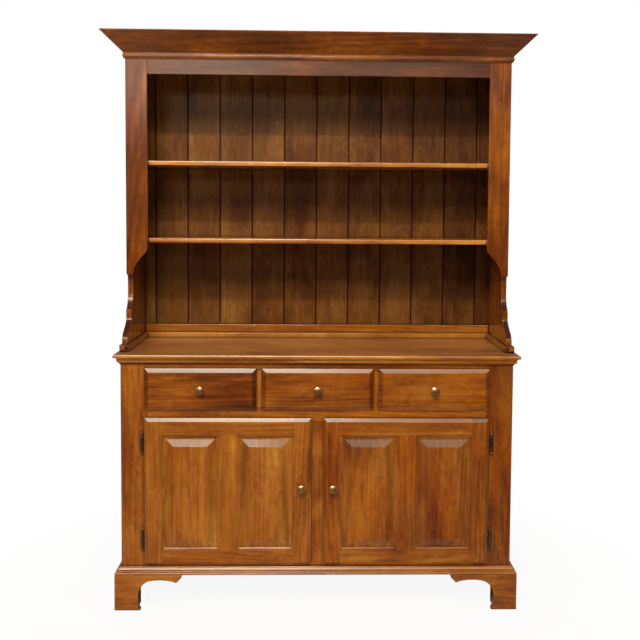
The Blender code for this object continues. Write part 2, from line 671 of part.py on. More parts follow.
def make_drawer(name, centre):
    """One lipped drawer: front, box and knob, on its slide."""
    half = DRAWER_OPENING_WIDTH / 2
    slide = add_pivot(name + "_slide", centre, 0, DRAWER_OPENING_BOTTOM)
    lip = half + LIP_OVERLAP
    z_range = (-LIP_OVERLAP, DRAWER_OPENING_HEIGHT + LIP_OVERLAP)
    inset = LIP_OVERLAP + DRAWER_CLEARANCE
    lip_back = -TOUCH
    steps = [(DRAWER_BEVEL, DRAWER_FACE), (0, DRAWER_FACE + DRAWER_BEVEL_DROP), (0, lip_back)]
    steps += [(inset, lip_back), (inset, lip_back + INSET_T)]
    add_piece(name + "_front", stepped_slab((-lip, lip), z_range, steps), MAPLE, slide)
    box_front = lip_back + INSET_T + TOUCH
    outer = half - BOX_CLEARANCE
    inner = outer - BOX_WALL
    low, high = TOUCH, TOUCH + BOX_HEIGHT
    back = INSIDE_BACK - BOX_REAR_ROOM
    shell = [(outer, box_front, back, low), (outer, box_front, back, high)]
    shell += [(inner, box_front + BOX_WALL, back - BOX_WALL, high)]
    shell += [(inner, box_front + BOX_WALL, back - BOX_WALL, low + BOX_BOTTOM)]
    rings = [[(-x, y0, z), (x, y0, z), (x, y1, z), (-x, y1, z)] for x, y0, y1, z in shell]
    add_piece(name + "_box", loft(rings), DRAWER_WOOD, slide)
    add_piece(name + "_knob", knob_mesh(0, DRAWER_FACE, DRAWER_OPENING_HEIGHT / 2),
              ANTIQUE_COPPER, slide)


def door_openings(width, height):
    """The two panel openings of a door, measured from its lower hinge-side corner."""
    opening = (width - 2 * DOOR_STILE - DOOR_MULLION) / 2
    z_range = (DOOR_BOTTOM_RAIL, height - DOOR_TOP_RAIL)
    first = (DOOR_STILE, DOOR_STILE + opening)
    second = (first[1] + DOOR_MULLION, first[1] + DOOR_MULLION + opening)
    return [("outer", first, z_range), ("inner", second, z_range)]


def make_door(name, side):
    """One lipped door: frame, two raised panels and a knob, on its hinge axis."""
    width = DOOR_OPENING_WIDTH + 2 * LIP_OVERLAP
    height = DOOR_OPENING_HEIGHT + 2 * LIP_OVERLAP
    pivot = add_pivot(name + "_hinge_axis", side * AXIS_X, AXIS_Y, DOOR_OPENING_BOTTOM)
    face = DOOR_FACE - AXIS_Y
    lip_back, back = face + LIP_T, face + LIP_T + INSET_T

    def across(span):
        return sorted(-side * (KNUCKLE_FROM_LIP + x) for x in span)

    def upright(span):
        return [z - LIP_OVERLAP for z in span]

    inset = LIP_OVERLAP + DOOR_CLEARANCE
    steps = [(DOOR_EDGE, face), (DOOR_EDGE * 0.93, face + LIP_T * 0.16)]
    steps += [(DOOR_EDGE * 0.50, face + LIP_T * 0.22), (DOOR_EDGE * 0.18, face + LIP_T * 0.42)]
    steps += [(DOOR_EDGE * 0.06, face + LIP_T * 0.58), (0, face + LIP_T * 0.62)]
    steps += [(0, lip_back), (inset, lip_back), (inset, back)]
    slab = stepped_slab(across((0, width)), upright((0, height)), steps)
    groove_front = face + STICKING_DEPTH
    groove_back = groove_front + GROOVE_WIDTH
    through = back - face
    cuts = []
    for place, x_span, z_span in door_openings(width, height):
        deep = STICKING_WIDTH - GROOVE_DEPTH
        steps = [(0, face - through), (0, face), (STICKING_WIDTH * 0.12, face + STICKING_DEPTH * 0.3)]
        steps += [(STICKING_WIDTH * 0.55, face + STICKING_DEPTH * 0.42)]
        steps += [(STICKING_WIDTH, face + STICKING_DEPTH * 0.85), (STICKING_WIDTH, groove_front)]
        steps += [(deep, groove_front), (deep, groove_back), (STICKING_WIDTH, groove_back)]
        steps.append((STICKING_WIDTH, back + through))
        cuts.append(stepped_slab(across(x_span), upright(z_span), steps))
        tongue = deep + STICKING_CLEARANCE
        rim_front = groove_front + STICKING_CLEARANCE
        rim_back = groove_back - STICKING_CLEARANCE
        field = STICKING_WIDTH + PANEL_RAISE
        field_face = face + PANEL_FIELD_DROP
        steps = [(field, field_face), (field, field_face + PANEL_STEP)]
        steps += [(STICKING_WIDTH, rim_front), (tongue, rim_front), (tongue, rim_back)]
        add_piece(name + "_panel_" + place,
                  stepped_slab(across(x_span), upright(z_span), steps), MAPLE, pivot)
    add_piece(name + "_frame", combined(slab, cuts, "DIFFERENCE"), MAPLE, pivot)
    knob_x = -side * (KNUCKLE_FROM_LIP + width - DOOR_KNOB_INSET)
    knob_z = DOOR_OPENING_HEIGHT / 2 + DOOR_KNOB_RAISE
    add_piece(name + "_knob", knob_mesh(knob_x, face, knob_z), ANTIQUE_COPPER, pivot)
    return pivot


def finial_profile(start):
    """Turned tip of a hinge pin, as (radius, height) points above start."""
    r, length = KNUCKLE_RADIUS, FINIAL_LENGTH
    shape = [(0.86, 0.00), (0.93, 0.07), (0.76, 0.19), (0.48, 0.31), (0.76, 0.46)]
    shape += [(0.81, 0.61), (0.57, 0.82)]
    return [(r * a, start + length * b) for a, b in shape] + [(0, start + length)]


def make_hinge(name, side, z, door_pivot):
    """Wrapped hinge with a case leaf that holds the pin and a door leaf that turns on it."""
    half_barrel, half_knuckle = BARREL_LENGTH / 2, CASE_KNUCKLE_LENGTH / 2
    arm_back = KNUCKLE_RADIUS
    arm = (arm_back - LEAF_T, arm_back)
    stile_edge = AXIS_X - HALF_OPENING
    case_flange = (stile_edge + LEAF_GAP, stile_edge + LEAF_GAP + LEAF_T)
    door_edge = stile_edge + DOOR_CLEARANCE
    door_flange = (door_edge - LEAF_GAP - LEAF_T, door_edge - LEAF_GAP)
    tall = (-LEAF_HEIGHT / 2, LEAF_HEIGHT / 2)
    frame_front = -AXIS_Y

    def across(low, high):
        return sorted((-side * low, -side * high))

    case_parts = [
        block(across(*case_flange), (frame_front + LEAF_GAP, frame_front + CASE_LEAF_DEPTH), tall),
        block(across(case_flange[0], case_flange[1]), (arm[0], frame_front + 2 * LEAF_GAP),
              (-half_knuckle, half_knuckle)),
        tube(KNUCKLE_RADIUS, PIN_RADIUS * 0.5, -half_knuckle, half_knuckle, HINGE_SEGMENTS),
    ]
    pin_low = [(radius, -height) for radius, height in finial_profile(half_barrel + KNUCKLE_GAP)]
    pin_high = finial_profile(half_barrel + KNUCKLE_GAP)
    pin = [pin_low[-1], *reversed(pin_low[:-1]), (PIN_RADIUS, pin_low[0][1])]
    pin += [(PIN_RADIUS, pin_high[0][1]), *pin_high]
    case_parts.append(turned(pin, HINGE_SEGMENTS, (0, 0, 0), (0, 0, 1)))
    case_arm = block(across(0, case_flange[1]), arm, (-half_knuckle, half_knuckle))
    case_pivot = add_pivot(name + "_place", side * AXIS_X, AXIS_Y, z)
    add_piece(name + "_case_leaf", combined(case_arm, case_parts, "UNION"), ANTIQUE_BRASS,
              case_pivot)
    low = half_knuckle + KNUCKLE_GAP
    flange_back = frame_front + INSET_T - DOOR_STANDOFF
    door_leaf = block(across(*door_flange), (arm[0], flange_back), tall)
    bore = PIN_RADIUS + PIN_CLEARANCE
    parts = []
    for z_range in ((low, half_barrel), (-half_barrel, -low)):
        ring = tube(KNUCKLE_RADIUS, bore, *z_range, HINGE_SEGMENTS)
        reach = block(across(bore * 1.1, door_flange[1]), arm, z_range)
        parts.append(combined(ring, [reach], "UNION"))
    leaf = combined(door_leaf, parts, "UNION")
    piece = add_piece(name + "_door_leaf", leaf, ANTIQUE_BRASS, door_pivot)
    piece.location = (0, 0, z - DOOR_OPENING_BOTTOM)


def main():
    """Build the whole piece from the floor up."""
    for old in list(bpy.data.objects):
        bpy.data.objects.remove(old, do_unlink=True)
    make_feet()
    make_base_frame()
    make_base_case()
    make_base_moulding()
    make_counter()
    make_hutch_case()
    make_hutch_back()
    make_cornice()
    for name, place in (("left", -1), ("centre", 0), ("right", 1)):
        make_drawer("drawer_" + name, place * DRAWER_SPACING)
    door_low = DOOR_OPENING_BOTTOM - LIP_OVERLAP
    door_high = DOOR_OPENING_TOP + LIP_OVERLAP
    for name, side in (("left", -1), ("right", 1)):
        pivot = make_door("door_" + name, side)
        make_hinge(f"hinge_{name}_upper", side, door_high - HINGE_FROM_DOOR_END, pivot)
        make_hinge(f"hinge_{name}_lower", side, door_low + HINGE_FROM_DOOR_END, pivot)


main()
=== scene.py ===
"""Looks of a stained maple buffet with an open hutch top.

Each section dresses one piece, or one group of like pieces, in the order in which the real
buffet is put together. Lengths are in metres; X runs right, Y to the back and Z up.
"""
import math
import random

import bmesh
import bpy
from mathutils import Matrix, Vector


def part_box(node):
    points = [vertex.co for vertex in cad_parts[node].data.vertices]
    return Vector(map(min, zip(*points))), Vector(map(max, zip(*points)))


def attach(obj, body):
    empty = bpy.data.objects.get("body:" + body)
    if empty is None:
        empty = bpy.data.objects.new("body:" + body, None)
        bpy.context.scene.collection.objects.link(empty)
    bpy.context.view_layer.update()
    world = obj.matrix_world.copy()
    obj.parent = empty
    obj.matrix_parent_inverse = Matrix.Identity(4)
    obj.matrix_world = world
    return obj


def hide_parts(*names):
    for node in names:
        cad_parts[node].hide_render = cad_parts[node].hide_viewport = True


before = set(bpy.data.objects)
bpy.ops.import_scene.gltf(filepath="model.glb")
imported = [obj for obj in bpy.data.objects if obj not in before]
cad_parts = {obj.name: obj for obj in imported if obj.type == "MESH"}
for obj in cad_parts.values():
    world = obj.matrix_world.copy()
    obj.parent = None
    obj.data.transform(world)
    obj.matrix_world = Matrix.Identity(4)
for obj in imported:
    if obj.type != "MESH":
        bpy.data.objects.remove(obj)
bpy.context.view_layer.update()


# The studio. A pale floor that runs out into white, two soft boxes low and far, a thin strip
# high and near, two soft boxes high in front, and weak ones at the sides and behind.
CAMERA_PLACE = Vector((-0.0107, -3.4808, 1.3465))
YAW, PITCH, ROLL = math.radians(1.50), math.radians(3.683), math.radians(0.430)
ahead = Vector((math.sin(YAW) * math.cos(PITCH), math.cos(YAW) * math.cos(PITCH), -math.sin(PITCH)))
level = Vector((math.cos(YAW), -math.sin(YAW), 0))
above = level.cross(ahead)
across = level * math.cos(ROLL) + above * math.sin(ROLL)
upright = above * math.cos(ROLL) - level * math.sin(ROLL)
lens = bpy.data.cameras.new("camera")
lens.lens = 54.93
lens.sensor_width = 36
lens.shift_x, lens.shift_y = -0.0323, -0.0689
camera = bpy.data.objects.new("camera", lens)
bpy.context.scene.collection.objects.link(camera)
turn = Matrix((across, upright, -ahead)).transposed().to_4x4()
camera.matrix_world = Matrix.Translation(CAMERA_PLACE) @ turn
bpy.context.scene.camera = camera
bpy.context.scene.view_settings.view_transform = "Standard"


def strip_light(name, place, aim, size, power, colour):
    """A rectangular soft light of (width, height), turned towards a point."""
    light = bpy.data.lights.new(name, "AREA")
    light.shape = "RECTANGLE"
    light.size, light.size_y = size
    light.energy = power
    light.color = colour
    lamp = bpy.data.objects.new(name, light)
    bpy.context.scene.collection.objects.link(lamp)
    lamp.location = place
    lamp.rotation_euler = (Vector(aim) - Vector(place)).to_track_quat("-Z", "Y").to_euler()


WARM_WHITE, PLAIN_WHITE = (1.0, 0.89, 0.69), (1.0, 0.97, 0.93)
strip_light("light_low", (-1.15, -5.47, 2.58), (0, 0, 1.2), (1.5, 0.60), 16, WARM_WHITE)
strip_light("light_low_right", (0.60, -5.47, 2.58), (0, 0, 1.2), (2.0, 0.60), 7, WARM_WHITE)
strip_light("light_high", (-0.40, -2.90, 3.75), (0, 0, 0.6), (1.0, 0.14), 86, WARM_WHITE)
strip_light("light_soft", (-1.30, -4.50, 4.30), (0, 0, 1.0), (3.2, 1.20), 175, WARM_WHITE)
strip_light("light_soft_right", (1.10, -4.50, 4.22), (0, 0, 1.0), (1.7, 0.70), 27, WARM_WHITE)
strip_light("light_left", (-3.6, -1.6, 2.3), (0, 0, 0.9), (0.9, 1.4), 7, PLAIN_WHITE)
strip_light("light_right", (3.6, -1.4, 2.2), (0, 0, 0.9), (0.9, 1.4), 6, PLAIN_WHITE)
strip_light("light_behind", (0.0, 4.2, 3.4), (0, 0, 0.9), (2.4, 1.2), 30, PLAIN_WHITE)


def node(tree, kind, inputs=None, **settings):
    """One node, with its settings, and with numbers or other nodes' outputs on its inputs."""
    made = tree.nodes.new(kind)
    for setting, value in settings.items():
        setattr(made, setting, value)
    for socket, value in (inputs or {}).items():
        if isinstance(value, bpy.types.NodeSocket):
            tree.links.new(value, made.inputs[socket])
        else:
            made.inputs[socket].default_value = value
    return made


def mapped(tree, value, low, high, to_low=0.0, to_high=1.0, **settings):
    """A value that runs between two bounds, spread over a new range and held in it."""
    bounds = {"Value": value, "From Min": low, "From Max": high, "To Min": to_low, "To Max": to_high}
    return node(tree, "ShaderNodeMapRange", bounds, **settings).outputs["Result"]


def blended(tree, share, first, second):
    """A share of the second colour laid over the first."""
    return node(tree, "ShaderNodeMix", {0: share, 6: first, 7: second}, data_type="RGBA").outputs[2]


WHITE, ROOM_COLOUR, ROOM_IN_FRONT = (1, 1, 1, 1), (0.13, 0.12, 0.11, 1), (0.03, 0.026, 0.022, 1)
sky = bpy.data.worlds.new("studio")
sky.use_nodes = True
tree = sky.node_tree
seen = node(tree, "ShaderNodeLightPath").outputs["Is Camera Ray"]
towards = node(tree, "ShaderNodeTexCoord").outputs["Generated"]
from_front = node(tree, "ShaderNodeVectorMath", {0: towards, 1: (0, -1, 0)}, operation="DOT_PRODUCT")
dim = mapped(tree, from_front.outputs["Value"], 0.45, 0.92, interpolation_type="SMOOTHSTEP")
room = blended(tree, dim, ROOM_COLOUR, ROOM_IN_FRONT)
tree.links.new(blended(tree, seen, room, WHITE), tree.nodes["Background"].inputs["Color"])
bpy.context.scene.world = sky


def maths(tree, operation, *values):
    """The result of one operation on numbers or other nodes' outputs."""
    return node(tree, "ShaderNodeMath", dict(enumerate(values)), operation=operation).outputs["Value"]


def new_finish(name):
    """A material, with its node tree and its shader."""
    look = bpy.data.materials.new(name)
    look.use_nodes = True
    return look, look.node_tree, look.node_tree.nodes["Principled BSDF"]


FLOOR_HALF, FLOOR_REAL, FLOOR_WHITE, FLOOR_LIFT = 30.0, 0.6, 1.5, 0.92
FLOOR_COLOUR = (0.90, 0.90, 0.89, 1)
# In reflections the floor is painted bright near the piece and dark further off: painted light and shade for
# what the wood reflects.
MIRRORED_FAR, MIRRORED_NEAR = (0.06, 0.05, 0.04, 1), (0.42, 0.39, 0.35, 1)
FAR_Y, NEAR_Y = -0.95, -0.50
floor_mesh = bpy.data.meshes.new("floor")
floor_mesh.from_pydata([(-FLOOR_HALF, -FLOOR_HALF, 0), (FLOOR_HALF, -FLOOR_HALF, 0),
                        (FLOOR_HALF, FLOOR_HALF, 0), (-FLOOR_HALF, FLOOR_HALF, 0)], [], [(0, 1, 2, 3)])
floor = bpy.data.objects.new("floor", floor_mesh)
bpy.context.scene.collection.objects.link(floor)
paper, tree, shader = new_finish("pale_floor")
shader.inputs["Roughness"].default_value = 0.7
rays = node(tree, "ShaderNodeLightPath").outputs
where = node(tree, "ShaderNodeTexCoord").outputs["Object"]
forward = node(tree, "ShaderNodeSeparateXYZ", {0: where}).outputs["Y"]
mirrored = blended(tree, mapped(tree, forward, FAR_Y, NEAR_Y), MIRRORED_FAR, MIRRORED_NEAR)
tree.links.new(blended(tree, rays["Is Glossy Ray"], FLOOR_COLOUR, mirrored), shader.inputs["Base Color"])
distance = node(tree, "ShaderNodeVectorMath", {0: where}, operation="LENGTH").outputs["Value"]
fade = mapped(tree, distance, FLOOR_REAL, FLOOR_WHITE, FLOOR_LIFT, interpolation_type="SMOOTHSTEP")
share = maths(tree, "MULTIPLY", fade, rays["Is Camera Ray"])
white = node(tree, "ShaderNodeEmission", {"Color": WHITE, "Strength": 1.0}).outputs["Emission"]
blend = node(tree, "ShaderNodeMixShader", {0: share, 1: shader.outputs["BSDF"], 2: white})
tree.links.new(blend.outputs["Shader"], tree.nodes["Material Output"].inputs["Surface"])
floor_mesh.materials.append(paper)


# Bracket feet. Each is a sawn front bracket mitred to a side bracket, in solid maple, with a
# square block glued in the corner; the rear feet have a plain brace across the back.
EASE, EASE_SHARE, EASE_FULLNESS = 0.0011, 0.4, 0.45
SHARP_TURN, CLOSEST_TURN = math.radians(24), 0.6
WORN_COLOUR = (0.56, 0.29, 0.09, 1)
# The glaze colour also paints shade in corners and on bevels; the reach and strength are those of the painted
# corner shade from ambient occlusion.
GLAZE_AND_SHADE_COLOUR, CORNER_SHADE_REACH, CORNER_SHADE_STRENGTH = (0.030, 0.0085, 0.0020, 1), 0.0078, 0.9
MAPLE_RAMP = ((0.00, (0.045, 0.0105, 0.0015)), (0.28, (0.130, 0.0310, 0.0028)),
              (0.52, (0.250, 0.0710, 0.0046)), (0.76, (0.370, 0.1350, 0.0120)),
              (1.00, (0.500, 0.2350, 0.0350)))
GRAIN_TURN = {"x": (0, math.radians(-90), 0), "y": (math.radians(90), 0, 0), "z": (0, 0, 0)}


def ramped(tree, value, ramp):
    """The colour at a value's place on a ramp of (place, colour) stops."""
    colour = node(tree, "ShaderNodeValToRGB", {"Fac": value})
    stops = colour.color_ramp.elements
    while len(stops) < len(ramp):
        stops.new(0.5)
    for stop, (position, tint) in zip(stops, ramp):
        stop.position, stop.color = position, (*tint, 1)
    return colour.outputs["Color"]


def relieved(tree, shader, height, strength, depth):
    """Give a surface the fine relief of a pattern of heights."""
    bump = node(tree, "ShaderNodeBump", {"Strength": strength, "Distance": depth, "Height": height})
    tree.links.new(bump.outputs["Normal"], shader.inputs["Normal"])


def stained_wood(name, grain="z", tone=0.5, cloud=0.34, figure=0.10, ramp=MAPLE_RAMP,
                 gloss=0.20, coat=1.0, board_tone=False, lacquer=()):
    """Stained maple under lacquer, its grain along an axis; tone is its place on the ramp.

    A dark glaze is kept on marked bevels, weighted as painted shade: more on bevels that
    face sideways or up and less on those that face down. Corners, gaps and the places
    between parts are darkened by ambient occlusion, painted shade that also stands for
    glaze held there.
    """
    dice = random.Random(name)
    look, tree, shader = new_finish(name)
    spot = node(tree, "ShaderNodeTexCoord")
    tilt = [angle + math.radians(dice.uniform(-1.2, 1.2)) for angle in GRAIN_TURN[grain]]
    shift = [dice.uniform(-9, 9) for _ in range(3)]
    board = node(tree, "ShaderNodeMapping", {"Vector": spot.outputs["Object"], "Rotation": tilt,
                                             "Location": shift}).outputs["Vector"]
    if board_tone:
        own = node(tree, "ShaderNodeAttribute", attribute_name="board_tone").outputs["Fac"]
        jump = node(tree, "ShaderNodeVectorMath", {0: own, 1: (31, 17, 5)}, operation="MULTIPLY")
        board = node(tree, "ShaderNodeVectorMath", {0: board, 1: jump.outputs["Vector"]}).outputs["Vector"]

    def pattern(stretch, scale, detail, low, high, distortion=0.0):
        """Noise drawn out along the grain, spread over 0 to 1."""
        drawn = node(tree, "ShaderNodeVectorMath", {0: board, 1: (1, 1, stretch)}, operation="MULTIPLY")
        noise = node(tree, "ShaderNodeTexNoise", {"Vector": drawn.outputs["Vector"], "Scale": scale,
                                                  "Detail": detail, "Distortion": distortion})
        return mapped(tree, noise.outputs["Fac"], low, high)

    def scaled(value, factor, offset=0.0):
        return maths(tree, "MULTIPLY_ADD", value, factor, offset)

    def added(first, second):
        return maths(tree, "ADD", first, second)

    clouds = pattern(0.34, 8.5, 3.0, 0.30, 0.70, 0.5)
    patches = pattern(0.50, 34.0, 4.0, 0.30, 0.72, 1.6)
    streaks = pattern(0.030, 170.0, 4.0, 0.28, 0.72)
    pores = pattern(0.055, 760.0, 2.0, 0.60, 0.74)
    rings = pattern(0.085, 4.6, 1.0, 0.0, 1.0, 0.25)
    waves = maths(tree, "SINE", scaled(rings, 150.0))
    shade = added(scaled(clouds, cloud, tone - cloud / 2), scaled(patches, cloud * 0.50, -cloud * 0.25))
    shade = added(shade, scaled(streaks, 0.22, -0.11))
    shade = added(shade, scaled(waves, figure / 2))
    shade = added(shade, scaled(pores, -0.10))
    if board_tone:
        shade = added(shade, scaled(own, 0.22, -0.11))
    facing = node(tree, "ShaderNodeSeparateXYZ", {0: spot.outputs["Normal"]}).outputs
    end_grain = mapped(tree, maths(tree, "ABSOLUTE", facing[grain.upper()]), 0.28, 0.60, 0.0, -0.40)
    colour = ramped(tree, added(shade, end_grain), ramp)
    reddish = node(tree, "ShaderNodeHueSaturation", {"Hue": 0.491, "Saturation": 1.03, "Value": 0.88,
                                                     "Color": colour}).outputs["Color"]
    body = blended(tree, pattern(0.5, 5.5, 2.0, 0.46, 0.66), colour, reddish)
    arris = node(tree, "ShaderNodeAttribute", attribute_name="worn").outputs["Fac"]
    rubbed = maths(tree, "MULTIPLY", scaled(arris, 0.42), pattern(0.4, 60.0, 2.0, 0.30, 0.62))
    worn = blended(tree, rubbed, body, WORN_COLOUR)
    # Glaze on the marked bevels, weighted by which way they face, heavier sideways and up and lighter facing
    # down: painted shade laid over real glaze.
    bevel_glaze_and_shade = maths(tree, "MULTIPLY", mapped(tree, arris, 0.0, -1.0), scaled(patches, 0.9, 0.45))
    shade_by_facing = added(scaled(maths(tree, "ABSOLUTE", facing["X"]), 0.4, 0.25), scaled(facing["Z"], 2.2))
    bevel_glaze_and_shade = maths(tree, "MULTIPLY", bevel_glaze_and_shade, shade_by_facing)
    # Ambient occlusion darkens corners, gaps and the places between parts: painted shade, which also stands for
    # glaze held in corners.
    corner = node(tree, "ShaderNodeAmbientOcclusion", {"Distance": CORNER_SHADE_REACH}, samples=5).outputs["AO"]
    glaze_and_painted_shade = maths(tree, "MAXIMUM", mapped(tree, corner, 0.95, 0.50, 0.0, CORNER_SHADE_STRENGTH), bevel_glaze_and_shade)
    tree.links.new(blended(tree, glaze_and_painted_shade, worn, GLAZE_AND_SHADE_COLOUR), shader.inputs["Base Color"])
    tree.links.new(scaled(clouds, 0.10, 0.40), shader.inputs["Roughness"])
    relieved(tree, shader, added(scaled(streaks, 0.7), scaled(pores, -0.5)), 0.35, 0.00012)
    for socket, value in (("Coat Weight", coat), ("Coat Roughness", gloss), ("Coat IOR", 1.5),
                          ("Specular IOR Level", 0.05), *lacquer):
        shader.inputs[socket].default_value = value
    return look


def softened(corners, radius=EASE, closed=True):
    """(a, b, worn) points of an outline whose sharp corners are sanded round."""
    points = []
    for i, corner in enumerate(corners):
        here = Vector(corner[:2])
        back = Vector(corners[i - 1][:2]) - here
        after = Vector(corners[(i + 1) % len(corners)][:2]) - here
        open_end = not closed and i in (0, len(corners) - 1)
        if open_end or math.pi - back.angle(after) < SHARP_TURN:
            points.append((*here, 0.0))
            continue
        reach = min(radius, EASE_SHARE * back.length, EASE_SHARE * after.length)
        start, end = here + back.normalized() * reach, here + after.normalized() * reach
        middle = start.lerp(end, 0.5).lerp(here, EASE_FULLNESS)
        points += [(*start, 0.0), (*middle, 1.0), (*end, 0.0)]
    return points


def anticlockwise(points):
    """An outline's points, turned round where they run clockwise."""
    area = sum(points[i - 1][0] * p[1] - p[0] * points[i - 1][1] for i, p in enumerate(points))
    return points if area > 0 else points[::-1]


def inset(points, distance):
    """An anticlockwise outline moved inwards."""
    moved = []
    for i, (a, b, worn) in enumerate(points):
        before = (Vector((a, b)) - Vector(points[i - 1][:2])).normalized()
        after = (Vector(points[(i + 1) % len(points)][:2]) - Vector((a, b))).normalized()
        inward = Vector((-before.y - after.y, before.x + after.x))
        inward *= 2 * distance / max(CLOSEST_TURN, inward.length_squared)
        moved.append((a + inward.x, b + inward.y, worn))
    return moved


def skin(rings, sharp_points=(), looped=False):
    """A closed mesh through rings of (point, worn) pairs, with its two ends filled."""
    count = len(rings[0])
    mesh = bpy.data.meshes.new("skin")
    verts = [tuple(point) for ring in rings for point, _ in ring]
    faces = [] if looped else [tuple(range(count)), tuple(range(len(verts) - count, len(verts)))]
    for lower in range(len(rings) if looped else len(rings) - 1):
        low, high = lower * count, (lower + 1) % len(rings) * count
        for i in range(count):
            j = (i + 1) % count
            faces.append((low + i, low + j, high + j, high + i))
    mesh.from_pydata(verts, [], faces)
    wear = [worn for ring in rings for _, worn in ring]
    mesh.attributes.new("worn", "FLOAT", "POINT").data.foreach_set("value", wear)
    bm = bmesh.new()
    bm.from_mesh(mesh)
    bmesh.ops.recalc_face_normals(bm, faces=bm.faces)
    for edge in bm.edges:
        (ring_a, point_a), (ring_b, point_b) = (divmod(v.index, count) for v in edge.verts)
        if ring_a != ring_b and point_a == point_b and point_a in sharp_points:
            edge.smooth = False
    bm.to_mesh(mesh)
    bm.free()
    return mesh


PLAN = {"x": (1, 2, 0), "y": (0, 2, 1), "z": (0, 1, 2)}
ROUND_MIDDLE = 0.29


def board(outline, axis, start, end, ease=EASE):
    """A board sawn to an outline, its thickness along an axis and every arris eased."""
    i, j, k = PLAN[axis]
    points = anticlockwise(softened(outline, ease))
    start, end = sorted((start, end))
    middle = ROUND_MIDDLE * ease
    levels = [(start, ease, None), (start + middle, middle, 1.0), (start + ease, 0, 0.0),
              (end - ease, 0, 0.0), (end - middle, middle, 1.0), (end, ease, None)]
    rings = []
    for along, distance, level_worn in levels:
        ring = []
        for a, b, worn in inset(points, distance) if distance else points:
            place = [0, 0, 0]
            place[i], place[j], place[k] = a, b, along
            ring.append((place, 0.0 if level_worn is None else max(worn, level_worn)))
        rings.append(ring)
    return skin(rings)


def plank(corner, opposite, ease=EASE):
    """A plain rectangular board between two opposite corners, with eased edges."""
    low, high = ([choose(pair) for pair in zip(corner, opposite)] for choose in (min, max))
    outline = [(low[0], low[2]), (high[0], low[2]), (high[0], high[2]), (low[0], high[2])]
    return board(outline, "y", low[1], high[1], min(ease, (high[1] - low[1]) * 0.3))


def cut_off(mesh, place, normal):
    """What is left of a board on the near side of a saw cut, the cut face closed."""
    bm = bmesh.new()
    bm.from_mesh(mesh)
    cut = bmesh.ops.bisect_plane(bm, geom=[*bm.verts, *bm.edges, *bm.faces], plane_co=place,
                                 plane_no=normal, clear_outer=True)
    edges = [item for item in cut["geom_cut"] if isinstance(item, bmesh.types.BMEdge)]
    bmesh.ops.holes_fill(bm, edges=edges, sides=0)
    bmesh.ops.recalc_face_normals(bm, faces=bm.faces)
    bm.to_mesh(mesh)
    bm.free()
    return mesh


SAME_POINT, SAME_PLANE, SAME_LINE, STRAIGHT = 1e-5, 2e-5, 1e-4, 1e-3


def outline_of(node_name, axis, high_side=False):
    """The sawn outline of a CAD board, seen along its thickness, with its curves refined."""
    i, j, k = PLAN[axis]
    bm = bmesh.new()
    bm.from_mesh(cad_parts[node_name].data)
    bmesh.ops.remove_doubles(bm, verts=bm.verts, dist=SAME_POINT)
    plane = (max if high_side else min)(v.co[k] for v in bm.verts)
    cap = {f for f in bm.faces if all(abs(v.co[k] - plane) < SAME_PLANE for v in f.verts)}
    follow = {}
    for face in cap:
        for loop in face.loops:
            if not all(f in cap for f in loop.edge.link_faces):
                follow[loop.vert.index] = (loop.link_loop_next.vert.index, loop.vert.co.copy())
    start = min(follow)
    walk, at = [], start
    while not walk or at != start:
        at, co = follow[at]
        walk.append(Vector((co[i], co[j])))
    bm.free()
    return refined([p for n, p in enumerate(walk)
                    if abs((p - walk[n - 1]).angle(walk[(n + 1) % len(walk)] - p)) > STRAIGHT])


CURVE_STEP_LIMIT, CURVE_STEPS = 0.024, 3


def refined(points):
    """An outline with its short, gently turning stretches drawn as smooth curves."""
    count = len(points)

    def gentle(n):
        return (points[n] - points[n - 1]).angle(points[(n + 1) % count] - points[n]) < SHARP_TURN

    def pull(n, towards):
        """Direction of the outline at a point, for the stretch that starts or ends there."""
        before, after = points[n] - points[n - 1], points[(n + 1) % count] - points[n]
        if not gentle(n):
            return towards.normalized()
        for stretch in (before, after):
            if stretch.length > CURVE_STEP_LIMIT:
                return stretch.normalized()
        return (before.normalized() + after.normalized()).normalized()

    smooth = []
    for n in range(count):
        here, beyond = points[n], points[(n + 1) % count]
        smooth.append(tuple(here))
        chord = beyond - here
        if chord.length > CURVE_STEP_LIMIT or not (gentle(n) or gentle((n + 1) % count)):
            continue
        leave, arrive = pull(n, chord) * chord.length, pull((n + 1) % count, chord) * chord.length
        for step in range(1, CURVE_STEPS):
            t = step / CURVE_STEPS
            point = here * (2 * t ** 3 - 3 * t * t + 1) + leave * (t ** 3 - 2 * t * t + t)
            smooth.append(tuple(point + beyond * (3 * t * t - 2 * t ** 3) + arrive * (t ** 3 - t * t)))
    return smooth


CREASE = math.radians(50)


def finish_piece(name, parts, body, slot, *nodes):
    """Join (mesh, finish) parts into one piece that stands for CAD nodes on a body."""
    bm = bmesh.new()
    finishes = []
    for mesh, look in parts:
        looks = look if isinstance(look, list) else [look]
        finishes += [new for new in looks if new not in finishes]
        slots = [finishes.index(new) for new in looks]
        done = len(bm.faces)
        bm.from_mesh(mesh)
        bm.faces.ensure_lookup_table()
        for face in bm.faces[done:]:
            face.material_index = slots[face.material_index]
    for face in bm.faces:
        face.smooth = True
    for edge in bm.edges:
        if len(edge.link_faces) == 2 and edge.calc_face_angle() > CREASE:
            edge.smooth = False
    joined = bpy.data.meshes.new(name)
    bm.to_mesh(joined)
    bm.free()
    for look in finishes:
        joined.materials.append(look)
    piece = bpy.data.objects.new(name, joined)
    bpy.context.scene.collection.objects.link(piece)
    even = piece.modifiers.new("even", "WEIGHTED_NORMAL")
    even.keep_sharp = True
    even.weight = 90
    seen_mesh = piece.evaluated_get(bpy.context.evaluated_depsgraph_get())
    piece.data = bpy.data.meshes.new_from_object(seen_mesh)
    piece.data.name = name
    piece.modifiers.clear()
    for mesh in {mesh for mesh, _ in parts}:
        bpy.data.meshes.remove(mesh)
    bpy.data.meshes.remove(joined)
    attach(piece, body)
    if nodes:
        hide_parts(*nodes)


